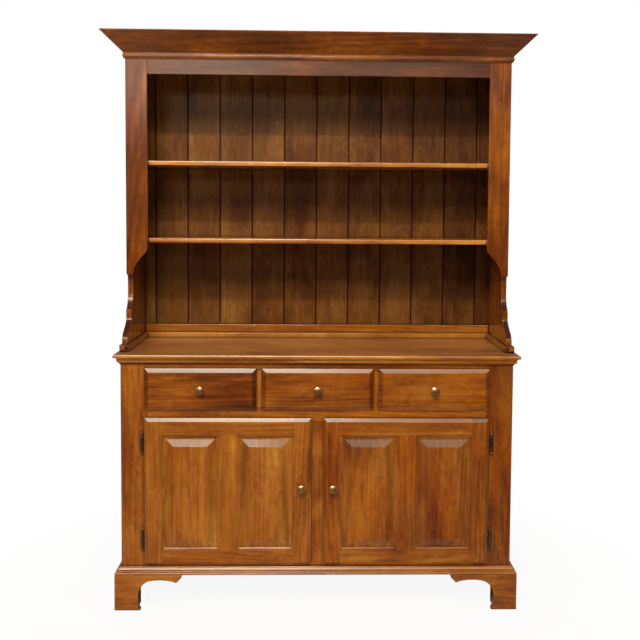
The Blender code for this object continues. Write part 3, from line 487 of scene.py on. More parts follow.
FOOT_T, FOOT_BLOCK, FOOT_OVERRUN = 0.020, 0.056, 0.006
FOOT_EASE, FOOT_BLOCK_EASE, GLUE_LINE = 0.0022, 0.0020, 0.0002
for side, name, tone in ((-1, "left", 0.60), (1, "right", 0.47)):
    for end in ("front", "rear"):
        foot = f"foot_{end}_{name}"
        low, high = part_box(foot)
        outer = high.x if side > 0 else low.x
        corner_y = low.y if end == "front" else high.y
        inward = 1 if end == "front" else -1
        front_look = stained_wood(foot + "_front_grain", "x", tone)
        side_look = stained_wood(foot + "_side_grain", "y", tone)
        block_look = stained_wood(foot + "_block_grain", "z", 0.30)
        side_outline = outline_of(foot, "x", high_side=side > 0)
        side_outline = [(y - inward * FOOT_OVERRUN if abs(y - corner_y) < SAME_LINE else y, z)
                        for y, z in side_outline]
        bracket = board(side_outline, "x", outer, outer - side * FOOT_T, FOOT_EASE)
        parts = [(bracket, side_look)]
        if end == "front":
            front_outline = [(x + side * FOOT_OVERRUN if abs(x - outer) < SAME_LINE else x, z)
                             for x, z in outline_of(foot, "y")]
            face = board(front_outline, "y", low.y, low.y + FOOT_T, FOOT_EASE)
            corner = (outer, low.y, 0)
            parts.append((cut_off(face, corner, (side, 1, 0)), front_look))
            cut_off(bracket, corner, (-side, -1, 0))
        else:
            cut_off(bracket, (outer, corner_y, 0), (0, 1, 0))
            brace_end = low.x if side > 0 else high.x
            parts.append((plank((outer - side * (FOOT_T - GLUE_LINE), high.y - FOOT_T, 0),
                                (brace_end, high.y, high.z)), front_look))
        near, far = FOOT_T + GLUE_LINE, FOOT_T + FOOT_BLOCK
        block = plank((outer - side * near, corner_y + inward * near, 0),
                      (outer - side * far, corner_y + inward * far, high.z), FOOT_BLOCK_EASE)
        parts.append((block, block_look))
        finish_piece(foot + "_brackets", parts, "case", "maple", foot)


# Face frame of the base. Stiles, rails and muntins of solid maple, tenoned together flush;
# the two muntins part the drawers and the centre stile parts the doors.
FRAME_TONES = {
    "base_stile_left": ("z", 0.45), "base_stile_right": ("z", 0.40), "base_stile_centre": ("z", 0.49),
    "base_rail_bottom": ("x", 0.50), "base_rail_middle": ("x", 0.58), "base_rail_top": ("x", 0.50),
    "drawer_muntin_left": ("z", 0.62), "drawer_muntin_right": ("z", 0.58),
}
FRAME_EASE = 0.0006


def dress_board(name, ending, look, ease=EASE, slot="maple"):
    """A plain board of the case, cut to the box of its CAD node."""
    finish_piece(name + ending, [(plank(*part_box(name), ease), look)], "case", slot, name)


for name, (grain, tone) in FRAME_TONES.items():
    dress_board(name, "_board", stained_wood(name + "_grain", grain, tone), FRAME_EASE)


# Case of the base. Sides, bottom and shelf of maple boards housed in each other, a drawer
# deck with guides of unstained maple, and a thin hardboard back in a rebate.
for name, grain, tone in (("base_side_left", "z", 0.46), ("base_side_right", "z", 0.46),
                          ("base_bottom_board", "x", 0.40), ("cupboard_shelf", "x", 0.42)):
    dress_board(name, "_board", stained_wood(name + "_grain", grain, tone))

PLAIN_RAMP = ((0.00, (0.260, 0.140, 0.052)), (0.35, (0.400, 0.240, 0.105)),
              (0.70, (0.520, 0.340, 0.165)), (1.00, (0.620, 0.440, 0.240)))
PLAIN_FINISH = {"cloud": 0.2, "ramp": PLAIN_RAMP, "gloss": 0.45, "coat": 0.12}
TOUCH, DECK_TOUCH = 0.0003, 0.0001
deck_look = stained_wood("deck_grain", "x", 0.50, **PLAIN_FINISH)
guide_look = stained_wood("guide_grain", "y", 0.55, **PLAIN_FINISH)
low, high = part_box("drawer_deck")
deck_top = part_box("drawer_guide_left")[0].z - TOUCH
guide_edge = -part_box("base_stile_left")[1].x
parts = [(plank(low, (high.x, high.y, deck_top)), deck_look)]
for side in (-1, 1):
    parts.append((plank((side * guide_edge, low.y, deck_top + DECK_TOUCH),
                        (side * high.x, high.y, high.z)), guide_look))
finish_piece("drawer_deck_board", parts, "case", "drawer_wood", "drawer_deck")
for name in ("drawer_guide_left", "drawer_guide_right"):
    dress_board(name, "_strip", guide_look, slot="drawer_wood")

PULP_RAMP = ((0.30, (0.105, 0.052, 0.024)), (0.75, (0.230, 0.130, 0.066)))
SHEET_EASE = 0.0005


def pressed_board(name):
    """Smooth brown hardboard, mottled by its fibres."""
    look, tree, shader = new_finish(name)
    spot = node(tree, "ShaderNodeTexCoord").outputs["Object"]
    fibres = node(tree, "ShaderNodeTexNoise", {"Vector": spot, "Scale": 420.0, "Detail": 4.0})
    mottle = node(tree, "ShaderNodeTexNoise", {"Vector": spot, "Scale": 14.0, "Detail": 3.0})
    pulp = maths(tree, "MULTIPLY_ADD", fibres.outputs["Fac"], mottle.outputs["Fac"], 0.25)
    tree.links.new(ramped(tree, pulp, PULP_RAMP), shader.inputs["Base Color"])
    relieved(tree, shader, fibres.outputs["Fac"], 0.3, 0.0002)
    shader.inputs["Roughness"].default_value = 0.62
    return look


hardboard = pressed_board("hardboard_sheet")
finish_piece("base_back_sheet", [(plank(*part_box("base_back_panel"), SHEET_EASE), hardboard)],
             "case", "hardboard", "base_back_panel")


# Base moulding. A two-step moulding of maple run in three lengths, mitred at the front
# corners and glued round the foot of the case, above the feet.
def quarter(start, end, steps=6, hollow=False):
    """Points of a quarter round from start to end, full or hollow, without its start."""
    points = []
    for step in range(1, steps + 1):
        turn = math.pi / 2 * step / steps
        across, along = math.sin(turn), 1 - math.cos(turn)
        if hollow:
            across, along = along, across
        points.append((start[0] + (end[0] - start[0]) * across, start[1] + (end[1] - start[1]) * along))
    return points


def mitred_lengths(section, half_width, front, back, ease):
    """Left, front and right lengths of a moulding of (out, z) points, mitred together."""
    points = softened(section, ease)
    rings = []
    for side, y, forward in ((-1, back, 0), (-1, front, 1), (1, front, 1), (1, back, 0)):
        rings.append([((side * (half_width + out), y - forward * out, z), worn)
                      for out, z, worn in points])
    return [skin(rings[n:n + 2]) for n in range(3)]


def mitred_piece(name, lengths, body_node, tone):
    """The three lengths of a moulding as one piece, each with its grain along it."""
    parts = [(length, stained_wood(f"{name}_grain_{place}", grain, tone))
             for length, place, grain in zip(lengths, ("left", "front", "right"), "yxy")]
    finish_piece(name, parts, "case", "maple", body_node)


case_low, case_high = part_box("base_stile_left")[0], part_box("base_stile_right")[1]
half_case, case_front, case_back = case_high.x, case_low.y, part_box("base_side_left")[1].y
low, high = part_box("base_moulding")
out, rise = high.x - half_case, high.z - low.z
section = [(TOUCH, low.z)]
for share_out, share_up in ((1, 0), (1, 0.17), (0.92, 0.29), (0.83, 0.30), (0.83, 0.35)):
    section.append((out * share_out, low.z + rise * share_up))
section += quarter(section[-1], (out * 0.62, low.z + rise * 0.53), hollow=True)
section += [(out * 0.51, low.z + rise * 0.53), (out * 0.51, low.z + rise * 0.58)]
section += [(out * 0.355, low.z + rise * 0.79), (out * 0.33, low.z + rise * 0.81)]
section += quarter(section[-1], (out * 0.14, high.z), hollow=True)
section.append((TOUCH, high.z))
lengths = mitred_lengths(section, half_case, case_front, case_back, ease=0.0007)
mitred_piece("base_moulding_run", lengths, "base_moulding", 0.60)


# Counter. One glued-up maple top with a two-step moulded edge on the front and ends, and a
# small cove moulding tucked under its overhang.
low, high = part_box("counter_top")
out, thick = high.x - half_case, high.z - low.z
section = [(out * 0.50, low.z), (out * 0.50, high.z - thick * 0.69), (out * 0.53, high.z - thick * 0.67)]
section += quarter(section[-1], (out * 0.97, high.z - thick * 0.41), hollow=True)
section += [(out, high.z - thick * 0.39), (out, high.z - thick * 0.14), (out * 0.948, high.z - thick * 0.04)]
section += quarter(section[-1], (out * 0.90, high.z), 4, hollow=True)
rings = []
for grow, z, worn in softened(section, radius=0.0004, closed=False):
    x, y = half_case + grow, case_front - grow
    rings.append([((-x, y, z), worn), ((x, y, z), worn), ((x, case_back, z), 0.0),
                  ((-x, case_back, z), 0.0)])
counter_look = stained_wood("counter_grain", "x", 0.68, cloud=0.40, lacquer=[("Sheen Weight", 0.05)])
finish_piece("counter_board", [(skin(rings, sharp_points=(0, 1, 2, 3)), counter_look)],
             "case", "maple", "counter_top")
low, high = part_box("counter_cove")
out, rise = high.x - half_case, high.z - low.z
section = [(TOUCH, low.z), (out * 0.28, low.z), (out * 0.33, low.z + rise * 0.2)]
section += quarter(section[-1], (out * 0.9, high.z - rise * 0.15), hollow=True)
section += [(out, high.z - rise * 0.15), (out, high.z), (TOUCH, high.z)]
lengths = mitred_lengths(section, half_case, case_front, case_back, ease=0.0003)
mitred_piece("counter_cove_run", lengths, "counter_cove", 0.48)


# Drawers. A lipped front of one maple board with a moulded edge, on an unstained box whose
# sides are dovetailed to its ends, and one turned knob.
# The moulded edges keep some glaze on their bevels, darkened further as painted shade by which way they face.
EDGE_WIDTH, EDGE_GLAZE_AND_SHADE, EDGE_EASE, LIP_T = 0.014, 0.34, 0.0005, 0.0095
BEVEL_RUN, BEVEL_FALLS = 0.0012, (0.14, 1.7)
DRAWER_EDGE = ((0.0000, 0.0095), (0.0000, 0.0061), (EDGE_WIDTH, 0.0000), (EDGE_WIDTH + 0.001, 0.0000))


def glaze_and_shade_marked(profile, amount):
    """A profile whose bevels keep some glaze and painted shade, held as a wear below nothing."""
    marked = []
    for n, (a, b, worn) in enumerate(profile):
        runs = [(abs(a - c), abs(b - d)) for c, d, _ in profile[max(n - 1, 0):n + 2]]
        bevel = any(BEVEL_RUN < run and BEVEL_FALLS[0] < fall / run < BEVEL_FALLS[1] for run, fall in runs)
        marked.append((a, b, -amount if bevel and not worn else worn))
    return marked


def framed(x_range, z_range, face, profile):
    """A slab of rectangles, one for each (inset, depth, worn) point behind its face."""
    rings = []
    for step_in, depth, worn in profile:
        left, right = x_range[0] + step_in, x_range[1] - step_in
        bottom, top = z_range[0] + step_in, z_range[1] - step_in
        corners = [(left, bottom), (right, bottom), (right, top), (left, top)]
        rings.append([((x, face + depth, z), worn) for x, z in corners])
    return skin(rings, sharp_points=(0, 1, 2, 3))


def lipped_edge(profile, lip_inset, total):
    """Profile of a lipped front: its moulded edge, the lip and the part in the opening."""
    rear = [(lip_inset, total), (lip_inset, LIP_T), *profile]
    return glaze_and_shade_marked(softened(rear, EDGE_EASE, closed=False), EDGE_GLAZE_AND_SHADE)


TAILS, TAIL_FLARE, TAIL_SHARE = 4, 0.0022, 0.65
BOX_WALL, BOX_BOTTOM, BOX_LIFT = 0.012, 0.006, 0.002
box_side_look = stained_wood("drawer_side_grain", "y", 0.52, figure=0.12, **PLAIN_FINISH)
box_end_look = stained_wood("drawer_end_grain", "x", 0.44, figure=0.12, **PLAIN_FINISH)


def tail_levels(low_z, high_z):
    """Lower and upper level of each dovetail at the end of a drawer side."""
    pitch = (high_z - low_z) / (TAILS + 1 - TAIL_SHARE)
    for number in range(TAILS):
        start = low_z + pitch * (1 - TAIL_SHARE + number)
        yield start, start + pitch * TAIL_SHARE


def drawer_box(low, high):
    """Sides with tails, ends with pins between them, and a thin bottom let in."""
    sides, ends = [], []
    outline = [(low.y + BOX_WALL, low.z)]
    for start, end in tail_levels(low.z, high.z):
        outline += [(low.y + BOX_WALL, start + TAIL_FLARE), (low.y, start), (low.y, end),
                    (low.y + BOX_WALL, end - TAIL_FLARE)]
    outline.append((low.y + BOX_WALL, high.z))
    middle = (low.y + high.y) / 2
    outline += [(2 * middle - y, z) for y, z in reversed(outline)]
    for side in (-1, 1):
        outer = high.x if side > 0 else low.x
        sides.append(board(outline, "x", outer, outer - side * BOX_WALL, ease=0.0004))
    for face, into in ((low.y, 1), (high.y, -1)):
        ends.append(plank((low.x + BOX_WALL, face, low.z),
                          (high.x - BOX_WALL, face + into * BOX_WALL, high.z), ease=0.0005))
        gaps, floor_z = [], low.z
        for start, end in tail_levels(low.z, high.z):
            gaps.append((floor_z, start))
            floor_z = end
        gaps.append((floor_z, high.z))
        for n, (start, end) in enumerate(gaps):
            under = TAIL_FLARE if n else 0
            over = TAIL_FLARE if n < TAILS else 0
            pin = [(face, start), (face + into * BOX_WALL, start - under),
                   (face + into * BOX_WALL, end + over), (face, end)]
            for outer, inner in ((low.x, low.x + BOX_WALL), (high.x - BOX_WALL, high.x)):
                ends.append(board(pin, "x", outer, inner, ease=0.0003))
    ends.append(plank((low.x + BOX_WALL, low.y + BOX_WALL, low.z + BOX_LIFT),
                      (high.x - BOX_WALL, high.y - BOX_WALL, low.z + BOX_LIFT + BOX_BOTTOM), ease=0.0004))
    return [(part, box_side_look) for part in sides] + [(part, box_end_look) for part in ends]


def aged_metal(name, dark, bright, roughness):
    """A plated and antiqued metal, dark with patches rubbed bright."""
    look, tree, shader = new_finish(name)
    spot = node(tree, "ShaderNodeTexCoord").outputs["Object"]
    rub = node(tree, "ShaderNodeTexNoise", {"Vector": spot, "Scale": 190.0, "Detail": 5.0}).outputs["Fac"]
    tree.links.new(ramped(tree, rub, ((0.36, dark), (0.62, bright))), shader.inputs["Base Color"])
    spread = mapped(tree, rub, 0.0, 1.0, roughness + 0.10, roughness - 0.05)
    tree.links.new(spread, shader.inputs["Roughness"])
    relieved(tree, shader, rub, 0.15, 0.0001)
    shader.inputs["Metallic"].default_value = 1.0
    return look


POLE_RADIUS, POLE_MERGE = 1e-5, 3e-5


def turned(profile, centre, axis, segments=40):
    """A turned piece: (radius, height) rings about an axis, from pole to pole."""
    axis = Vector(axis)
    side = axis.orthogonal().normalized()
    other = axis.cross(side)
    rings = []
    for radius, height in profile:
        ring = []
        for n in range(segments):
            angle = math.tau * n / segments
            spoke = side * math.cos(angle) + other * math.sin(angle)
            ring.append((Vector(centre) + axis * height + spoke * max(radius, POLE_RADIUS), 0.0))
        rings.append(ring)
    mesh = skin(rings)
    bm = bmesh.new()
    bm.from_mesh(mesh)
    bmesh.ops.remove_doubles(bm, verts=bm.verts, dist=POLE_MERGE)
    bmesh.ops.recalc_face_normals(bm, faces=bm.faces)
    bm.to_mesh(mesh)
    bm.free()
    return mesh


KNOB_PROFILE = ((0.00, 0.010), (0.46, 0.010), (0.50, 0.035), (0.47, 0.060), (0.36, 0.090), (0.30, 0.150),
                (0.28, 0.240), (0.29, 0.340), (0.34, 0.410), (0.45, 0.480), (0.64, 0.540), (0.82, 0.590),
                (0.94, 0.645), (0.99, 0.705), (1.00, 0.750), (0.985, 0.800), (0.93, 0.850), (0.84, 0.895),
                (0.70, 0.935), (0.52, 0.965), (0.34, 0.985), (0.17, 0.996), (0.00, 1.000))
knob_look = aged_metal("antique_copper", (0.340, 0.155, 0.055), (0.800, 0.475, 0.265), 0.36)


def dress_knob(node_name, body):
    """The turned mushroom knob, held by its stem to the face behind it."""
    low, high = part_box(node_name)
    centre = ((low.x + high.x) / 2, high.y, (low.z + high.z) / 2)
    radius, reach = (high.x - low.x) / 2, high.y - low.y
    profile = [(radius * r, reach * h) for r, h in KNOB_PROFILE]
    finish_piece(node_name + "_turned", [(turned(profile, centre, (0, -1, 0)), knob_look)],
                 body, "knob_metal", node_name)


DRAWER_LIP_INSET = 0.011
DRAWER_TONES = {"drawer_left": 0.31, "drawer_centre": 0.45, "drawer_right": 0.55}
for name, tone in DRAWER_TONES.items():
    low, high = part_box(name + "_front")
    profile = lipped_edge(DRAWER_EDGE, DRAWER_LIP_INSET, high.y - low.y)
    front = framed((low.x, high.x), (low.z, high.z), low.y, profile)
    look = stained_wood(name + "_grain", "x", tone)
    finish_piece(name + "_front_board", [(front, look)], name, "maple", name + "_front")
    finish_piece(name + "_box_joined", drawer_box(*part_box(name + "_box")), name, "drawer_wood",
                 name + "_box")
    dress_knob(name + "_knob", name)


# Doors. Each is a lipped frame of two stiles, two rails and a mullion with a moulded inner
# edge, round two raised panels that float in its grooves; the knob is on the lock stile.
DOOR_EDGE = ((0.0000, 0.0095), (0.0000, 0.0067), (0.0005, 0.0062), (0.0063, 0.0033), (0.0065, 0.0029),
             (0.0123, 0.0000), (EDGE_WIDTH + 0.001, 0.0000))
STICKING = ((0.0000, -0.0200), (0.0000, 0.0000), (0.0003, 0.0030), (0.0012, 0.0034), (0.0030, 0.0037),
            (0.0048, 0.0043), (0.0066, 0.0052), (0.0078, 0.0061), (0.0085, 0.0070), (0.0015, 0.0070),
            (0.0015, 0.0130), (0.0085, 0.0130), (0.0085, 0.0400))
PANEL_TO_OPENING = 0.0021
PANEL_RAISE = ((0.0000, 0.0036), (0.0000, -0.0009), (0.0126, -0.0009), (0.0130, -0.0010),
               (0.0374, -0.0083), (0.0374, -0.0088), (0.0386, -0.0088))
# The raised panels keep glaze on their bevels, darkened further as painted shade by which way they face.
PANEL_GLAZE_AND_SHADE, PANEL_COAT_IOR = 0.55, {"door_left": 1.66, "door_right": 1.72}
DOOR_LIP_INSET, STICKING_EASE, MITRE_SLACK = 0.0125, 0.0003, 0.02


def carved(mesh, cutters):
    """A mesh with others cut out of it."""
    body = bpy.data.objects.new("body", mesh)
    bpy.context.scene.collection.objects.link(body)
    tools = []
    for cutter in cutters:
        tool = bpy.data.objects.new("tool", cutter)
        bpy.context.scene.collection.objects.link(tool)
        tools.append(tool)
        step = body.modifiers.new("cut", "BOOLEAN")
        step.operation, step.solver, step.object = "DIFFERENCE", "EXACT", tool
    result = bpy.data.meshes.new_from_object(body.evaluated_get(bpy.context.evaluated_depsgraph_get()))
    for helper in (body, *tools):
        helper_mesh = helper.data
        bpy.data.objects.remove(helper)
        bpy.data.meshes.remove(helper_mesh)
    return result


def part_by_member(mesh, openings):
    """Mark each face with its member of the frame: left, right, bottom, top or middle."""
    (first_low, first_high), (second_low, second_high) = openings
    bm = bmesh.new()
    bm.from_mesh(mesh)
    for place, direction in ((first_low, (1, 0, 0)), (second_high, (1, 0, 0)), (first_high, (1, 0, 0)),
                             (second_low, (1, 0, 0)), (first_low, (0, 0, 1)), (first_high, (0, 0, 1))):
        bmesh.ops.bisect_plane(bm, geom=[*bm.verts, *bm.edges, *bm.faces], plane_co=place,
                               plane_no=direction)
    for face in bm.faces:
        x, _, z = face.calc_center_median()
        for (low, high), sides in ((openings[0], (0, 4, 2, 3)), (openings[1], (4, 1, 2, 3))):
            if low.x < x < high.x and low.z < z < high.z:
                gaps = (x - low.x, high.x - x, z - low.z, high.z - z)
                face.material_index = sides[gaps.index(min(gaps))]
                break
        else:
            beyond = (x < first_low.x, x > second_high.x, z < first_low.z, z > first_high.z, True)
            face.material_index = beyond.index(True)
    bm.to_mesh(mesh)
    bm.free()


def sharpen_mitres(mesh):
    """Keep the diagonal lines crisp where moulded edges meet at a corner."""
    bm = bmesh.new()
    bm.from_mesh(mesh)
    for edge in bm.edges:
        run = edge.verts[1].co - edge.verts[0].co
        if abs(run.x) > SAME_LINE and abs(abs(run.x) - abs(run.z)) < MITRE_SLACK * abs(run.x):
            edge.smooth = False
    bm.to_mesh(mesh)
    bm.free()


DOOR_TONES = {
    "door_left": {"stile_hinge": 0.60, "stile_lock": 0.55, "rail_top": 0.55, "rail_bottom": 0.61,
                  "mullion": 0.72, "panel_outer": 0.67, "panel_inner": 0.60},
    "door_right": {"stile_hinge": 0.55, "stile_lock": 0.54, "rail_top": 0.52, "rail_bottom": 0.55,
                   "mullion": 0.55, "panel_outer": 0.50, "panel_inner": 0.49},
}
for name, tones in DOOR_TONES.items():
    low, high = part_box(name + "_frame")
    profile = lipped_edge(DOOR_EDGE, DOOR_LIP_INSET, high.y - low.y)
    slab = framed((low.x, high.x), (low.z, high.z), low.y, profile)
    openings = []
    for place in ("outer", "inner"):
        panel_low, panel_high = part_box(f"{name}_panel_{place}")
        margin = Vector((PANEL_TO_OPENING, 0, PANEL_TO_OPENING))
        openings.append((panel_low - margin, panel_high + margin))
    openings.sort(key=lambda corners: corners[0].x)
    cutters = [framed((a.x, b.x), (a.z, b.z), low.y, softened(STICKING, STICKING_EASE, closed=False))
               for a, b in openings]
    whole = carved(slab, cutters)
    sharpen_mitres(whole)
    stiles = ("stile_lock", "stile_hinge") if name == "door_right" else ("stile_hinge", "stile_lock")
    members = [(stiles[0], "z"), (stiles[1], "z"), ("rail_bottom", "x"), ("rail_top", "x"),
               ("mullion", "z")]
    part_by_member(whole, openings)
    looks = [stained_wood(f"{name}_{member}_grain", grain, tones[member]) for member, grain in members]
    finish_piece(name + "_frame_boards", [(whole, looks)], name, "maple", name + "_frame")
    for place in ("outer", "inner"):
        panel = f"{name}_panel_{place}"
        panel_low, panel_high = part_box(panel)
        rim = panel_high.y - PANEL_RAISE[0][1]
        raised = framed((panel_low.x, panel_high.x), (panel_low.z, panel_high.z), rim,
                        glaze_and_shade_marked(softened(PANEL_RAISE, EDGE_EASE, closed=False), PANEL_GLAZE_AND_SHADE))
        look = stained_wood(panel + "_grain", "z", tones["panel_" + place], cloud=0.38, gloss=0.12,
                            lacquer=[("Coat IOR", PANEL_COAT_IOR[name])])
        finish_piece(panel + "_raised", [(raised, look)], name, "maple", panel)
    dress_knob(name + "_knob", name)


# Hinges. Wrapped brass hinges in an antique finish: the case leaf carries the middle knuckle
# and the pin with its turned tips, and the door leaf turns on it with two outer knuckles.
hinge_look = aged_metal("antique_brass", (0.090, 0.052, 0.028), (0.330, 0.210, 0.105), 0.33)
LEAF_T, LEAF_EASE, LEAF_GAP, LEAF_HOOK = 0.0012, 0.00025, 0.0004, 0.001
KNUCKLE_RADIUS, KNUCKLE_RIM, KNUCKLE_GAP, KNUCKLE_SEGMENTS = 0.0042, 0.0004, 0.0003, 32
PIN_RADIUS, BORE_RADIUS, BORE_CLEAR, TURNED_SEGMENTS = 0.0017, 0.0021, 0.0023, 24
HALF_BARREL, HALF_MIDDLE, SCREW_SPREAD = 0.023, 0.00785, 0.62
TIP_PROFILE = ((0.86, 0.00), (0.95, 0.03), (0.95, 0.08), (0.80, 0.13), (0.60, 0.20), (0.48, 0.29),
               (0.52, 0.35), (0.70, 0.42), (0.82, 0.50), (0.85, 0.58), (0.78, 0.68), (0.62, 0.80),
               (0.40, 0.91), (0.18, 0.98), (0.00, 1.00))
HOLE_PROFILE = ((0.0, -0.0020), (0.0028, -0.0020), (0.0028, 0.0020), (0.0, 0.0020))


def knuckle(x, y, low_z, high_z, bore):
    """One rolled knuckle of a hinge: a tube with rounded rims."""
    shoulder = KNUCKLE_RADIUS - KNUCKLE_RIM
    section = [(shoulder, low_z), (KNUCKLE_RADIUS, low_z + KNUCKLE_RIM),
               (KNUCKLE_RADIUS, high_z - KNUCKLE_RIM), (shoulder, high_z), (bore, high_z), (bore, low_z)]
    rings = []
    for n in range(KNUCKLE_SEGMENTS):
        angle = math.tau * n / KNUCKLE_SEGMENTS
        rings.append([((x + r * math.cos(angle), y + r * math.sin(angle), z), 0.0) for r, z in section])
    return skin(rings, looped=True)


screw_places = {"case": [], "door_left": [], "door_right": []}
for side, door in ((-1, "left"), (1, "right")):
    for level_name in ("upper", "lower"):
        hinge = f"hinge_{door}_{level_name}"
        case_low, case_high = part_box(hinge + "_case_leaf")
        door_low, door_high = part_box(hinge + "_door_leaf")
        case_x, door_x = (case_low.x, door_low.x) if side > 0 else (case_high.x, door_high.x)
        axis_x = case_high.x - KNUCKLE_RADIUS if side > 0 else case_low.x + KNUCKLE_RADIUS
        axis_y, axis_z = case_low.y + KNUCKLE_RADIUS, (case_low.z + case_high.z) / 2
        barrel_y = axis_y + KNUCKLE_RADIUS
        wrap_y = barrel_y - LEAF_T
        half_leaf = (door_high.z - door_low.z) / 2
        foot, head = axis_z - half_leaf, axis_z + half_leaf
        case_flange, door_flange = case_x + side * LEAF_T, door_x + side * LEAF_T
        tip = case_high.z - axis_z - HALF_BARREL - KNUCKLE_GAP
        pin = [(KNUCKLE_RADIUS * r, HALF_BARREL + KNUCKLE_GAP + tip * h) for r, h in TIP_PROFILE]
        pin = [*((r, -h) for r, h in reversed(pin)), (PIN_RADIUS, -HALF_BARREL), (PIN_RADIUS, HALF_BARREL),
               *pin]
        holes = {"case": [], "door_" + door: []}
        for body, x, back, away in (("case", case_x, case_high.y, -side),
                                    ("door_" + door, door_flange, door_high.y, side)):
            for end in (-1, 1):
                place = (x, (barrel_y + back) / 2, axis_z + end * half_leaf * SCREW_SPREAD)
                screw_places[body].append((place, (away, 0, 0)))
                holes[body].append(turned(HOLE_PROFILE, place, (away, 0, 0), TURNED_SEGMENTS))
        low_z, high_z = axis_z - HALF_MIDDLE, axis_z + HALF_MIDDLE
        leaf = plank((case_x, barrel_y + LEAF_GAP, foot), (case_flange, case_high.y, head), LEAF_EASE)
        case_parts = [
            carved(leaf, holes["case"]),
            plank((axis_x, wrap_y, low_z), (case_x, barrel_y, high_z), LEAF_EASE),
            plank((case_x, wrap_y, low_z), (case_flange, barrel_y + LEAF_HOOK, high_z), LEAF_EASE),
            knuckle(axis_x, axis_y, low_z, high_z, PIN_RADIUS),
            turned(pin, (axis_x, axis_y, axis_z), (0, 0, 1), TURNED_SEGMENTS),
        ]
        finish_piece(hinge + "_case_leaf_wrapped", [(part, hinge_look) for part in case_parts], "case",
                     "hinge_metal", hinge + "_case_leaf")
        leaf = plank((door_x, wrap_y, foot), (door_flange, door_high.y, head), LEAF_EASE)
        door_parts = [carved(leaf, holes["door_" + door])]
        for end in (-1, 1):
            low_z, high_z = sorted((axis_z + end * (HALF_MIDDLE + KNUCKLE_GAP), axis_z + end * HALF_BARREL))
            door_parts.append(knuckle(axis_x, axis_y, low_z, high_z, BORE_RADIUS))
            door_parts.append(plank((axis_x - side * BORE_CLEAR, wrap_y, low_z), (door_x, barrel_y, high_z),
                                    LEAF_EASE))
        finish_piece(hinge + "_door_leaf_wrapped", [(part, hinge_look) for part in door_parts],
                     "door_" + door, "hinge_metal", hinge + "_door_leaf")


# Hutch case. Two ends sawn to a scroll at the counter, a face frame of two stiles with
# bracket-shaped feet and a top rail, a top board and two shelves with rounded noses.
for name, ending, axis, tone, cloud, ease in (("hutch_side_left", "_scrolled", "x", 0.44, 0.34, 0.0013),
                                              ("hutch_stile_left", "_board", "y", 0.27, 0.26, 0.0010),
                                              ("hutch_side_right", "_scrolled", "x", 0.44, 0.34, 0.0013),
                                              ("hutch_stile_right", "_board", "y", 0.38, 0.26, 0.0010)):
    low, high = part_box(name)
    thick = PLAN[axis][2]
    sawn = board(outline_of(name, axis), axis, low[thick], high[thick], ease)
    look = stained_wood(name + "_grain", "z", tone, cloud)
    finish_piece(name + ending, [(sawn, look)], "case", "maple", name)
for name, tone in (("hutch_top_rail", 0.12), ("hutch_top_board", 0.40)):
    dress_board(name, "_plank", stained_wood(name + "_grain", "x", tone, cloud=0.26), ease=0.0010)
NOSE_SHARE, ARRIS_SHARE = 0.28, 0.10
for name, lean in (("hutch_shelf_lower", 0.37), ("hutch_shelf_upper", 0.30)):
    low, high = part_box(name)
    nose, arris = (high.z - low.z) * NOSE_SHARE, (high.z - low.z) * ARRIS_SHARE
    section = [(high.y, high.z), (high.y, low.z), (low.y + arris, low.z)]
    section += quarter(section[-1], (low.y, low.z + arris), 5)
    section += [(low.y, high.z - nose * 1.7), (low.y + nose * lean, high.z - nose * 0.5)]
    section += quarter(section[-1], (low.y + nose, high.z), 5, hollow=True)
    look = stained_wood(name + "_grain", "x", 0.74)
    nosed = board(section, "x", low.x, high.x, ease=0.0006)
    finish_piece(name + "_nosed", [(nosed, look)], "case", "maple", name)


# Hutch back. Tongued boards set upright, with a V between neighbours, in a darker stain; a
# flat rail covers their feet, and a cleat round the counter's edge ties the hutch down.
BOARD_PITCH, BOARD_OFFSET = 0.1217, -0.0074
V_WIDTH, V_DEPTH, BOARD_GAP = 0.0056, 0.0025, 0.0020


def node_tree(name, inputs):
    """An empty Geometry Nodes group with named inputs; returns it with its inputs."""
    group = bpy.data.node_groups.new(name, "GeometryNodeTree")
    for label, kind in (("Geometry", "Geometry"), *inputs, ("Finish", "Material")):
        group.interface.new_socket(label, in_out="INPUT", socket_type="NodeSocket" + kind)
    group.interface.new_socket("Geometry", in_out="OUTPUT", socket_type="NodeSocketGeometry")
    return group, group.nodes.new("NodeGroupInput").outputs


def end_tree(group, given, geometry):
    """The end of a group: its copies are made real and take the finish."""
    real = node(group, "GeometryNodeRealizeInstances", {"Geometry": geometry}).outputs["Geometry"]
    painted = node(group, "GeometryNodeSetMaterial", {"Geometry": real, "Material": given["Finish"]})
    end = group.nodes.new("NodeGroupOutput")
    group.links.new(painted.outputs["Geometry"], end.inputs["Geometry"])


def vector(group, x=0.0, y=0.0, z=0.0):
    """Three numbers or outputs as one vector."""
    return node(group, "ShaderNodeCombineXYZ", {0: x, 1: y, 2: z}).outputs["Vector"]


def grown(group, places, values, own_values):
    """The plain mesh that a node group makes at some places, each with values of its own."""
    seeds = bpy.data.meshes.new("places")
    seeds.from_pydata(places, [], [])
    for label, column in own_values.items():
        kind, field = ("FLOAT_VECTOR", "vector") if isinstance(column[0], tuple) else ("FLOAT", "value")
        for datum, value in zip(seeds.attributes.new(label, kind, "POINT").data, column):
            setattr(datum, field, value)
    carrier = bpy.data.objects.new("places", seeds)
    bpy.context.scene.collection.objects.link(carrier)
    step = carrier.modifiers.new("grown", "NODES")
    step.node_group = group
    for item in group.interface.items_tree:
        if item.in_out == "INPUT" and item.name in values:
            step[item.identifier] = values[item.name]
    graph = bpy.context.evaluated_depsgraph_get()
    result = bpy.data.meshes.new_from_object(carrier.evaluated_get(graph), depsgraph=graph)
    bpy.data.objects.remove(carrier)
    bpy.data.meshes.remove(seeds)
    for face in result.polygons:
        face.material_index = 0
    return result


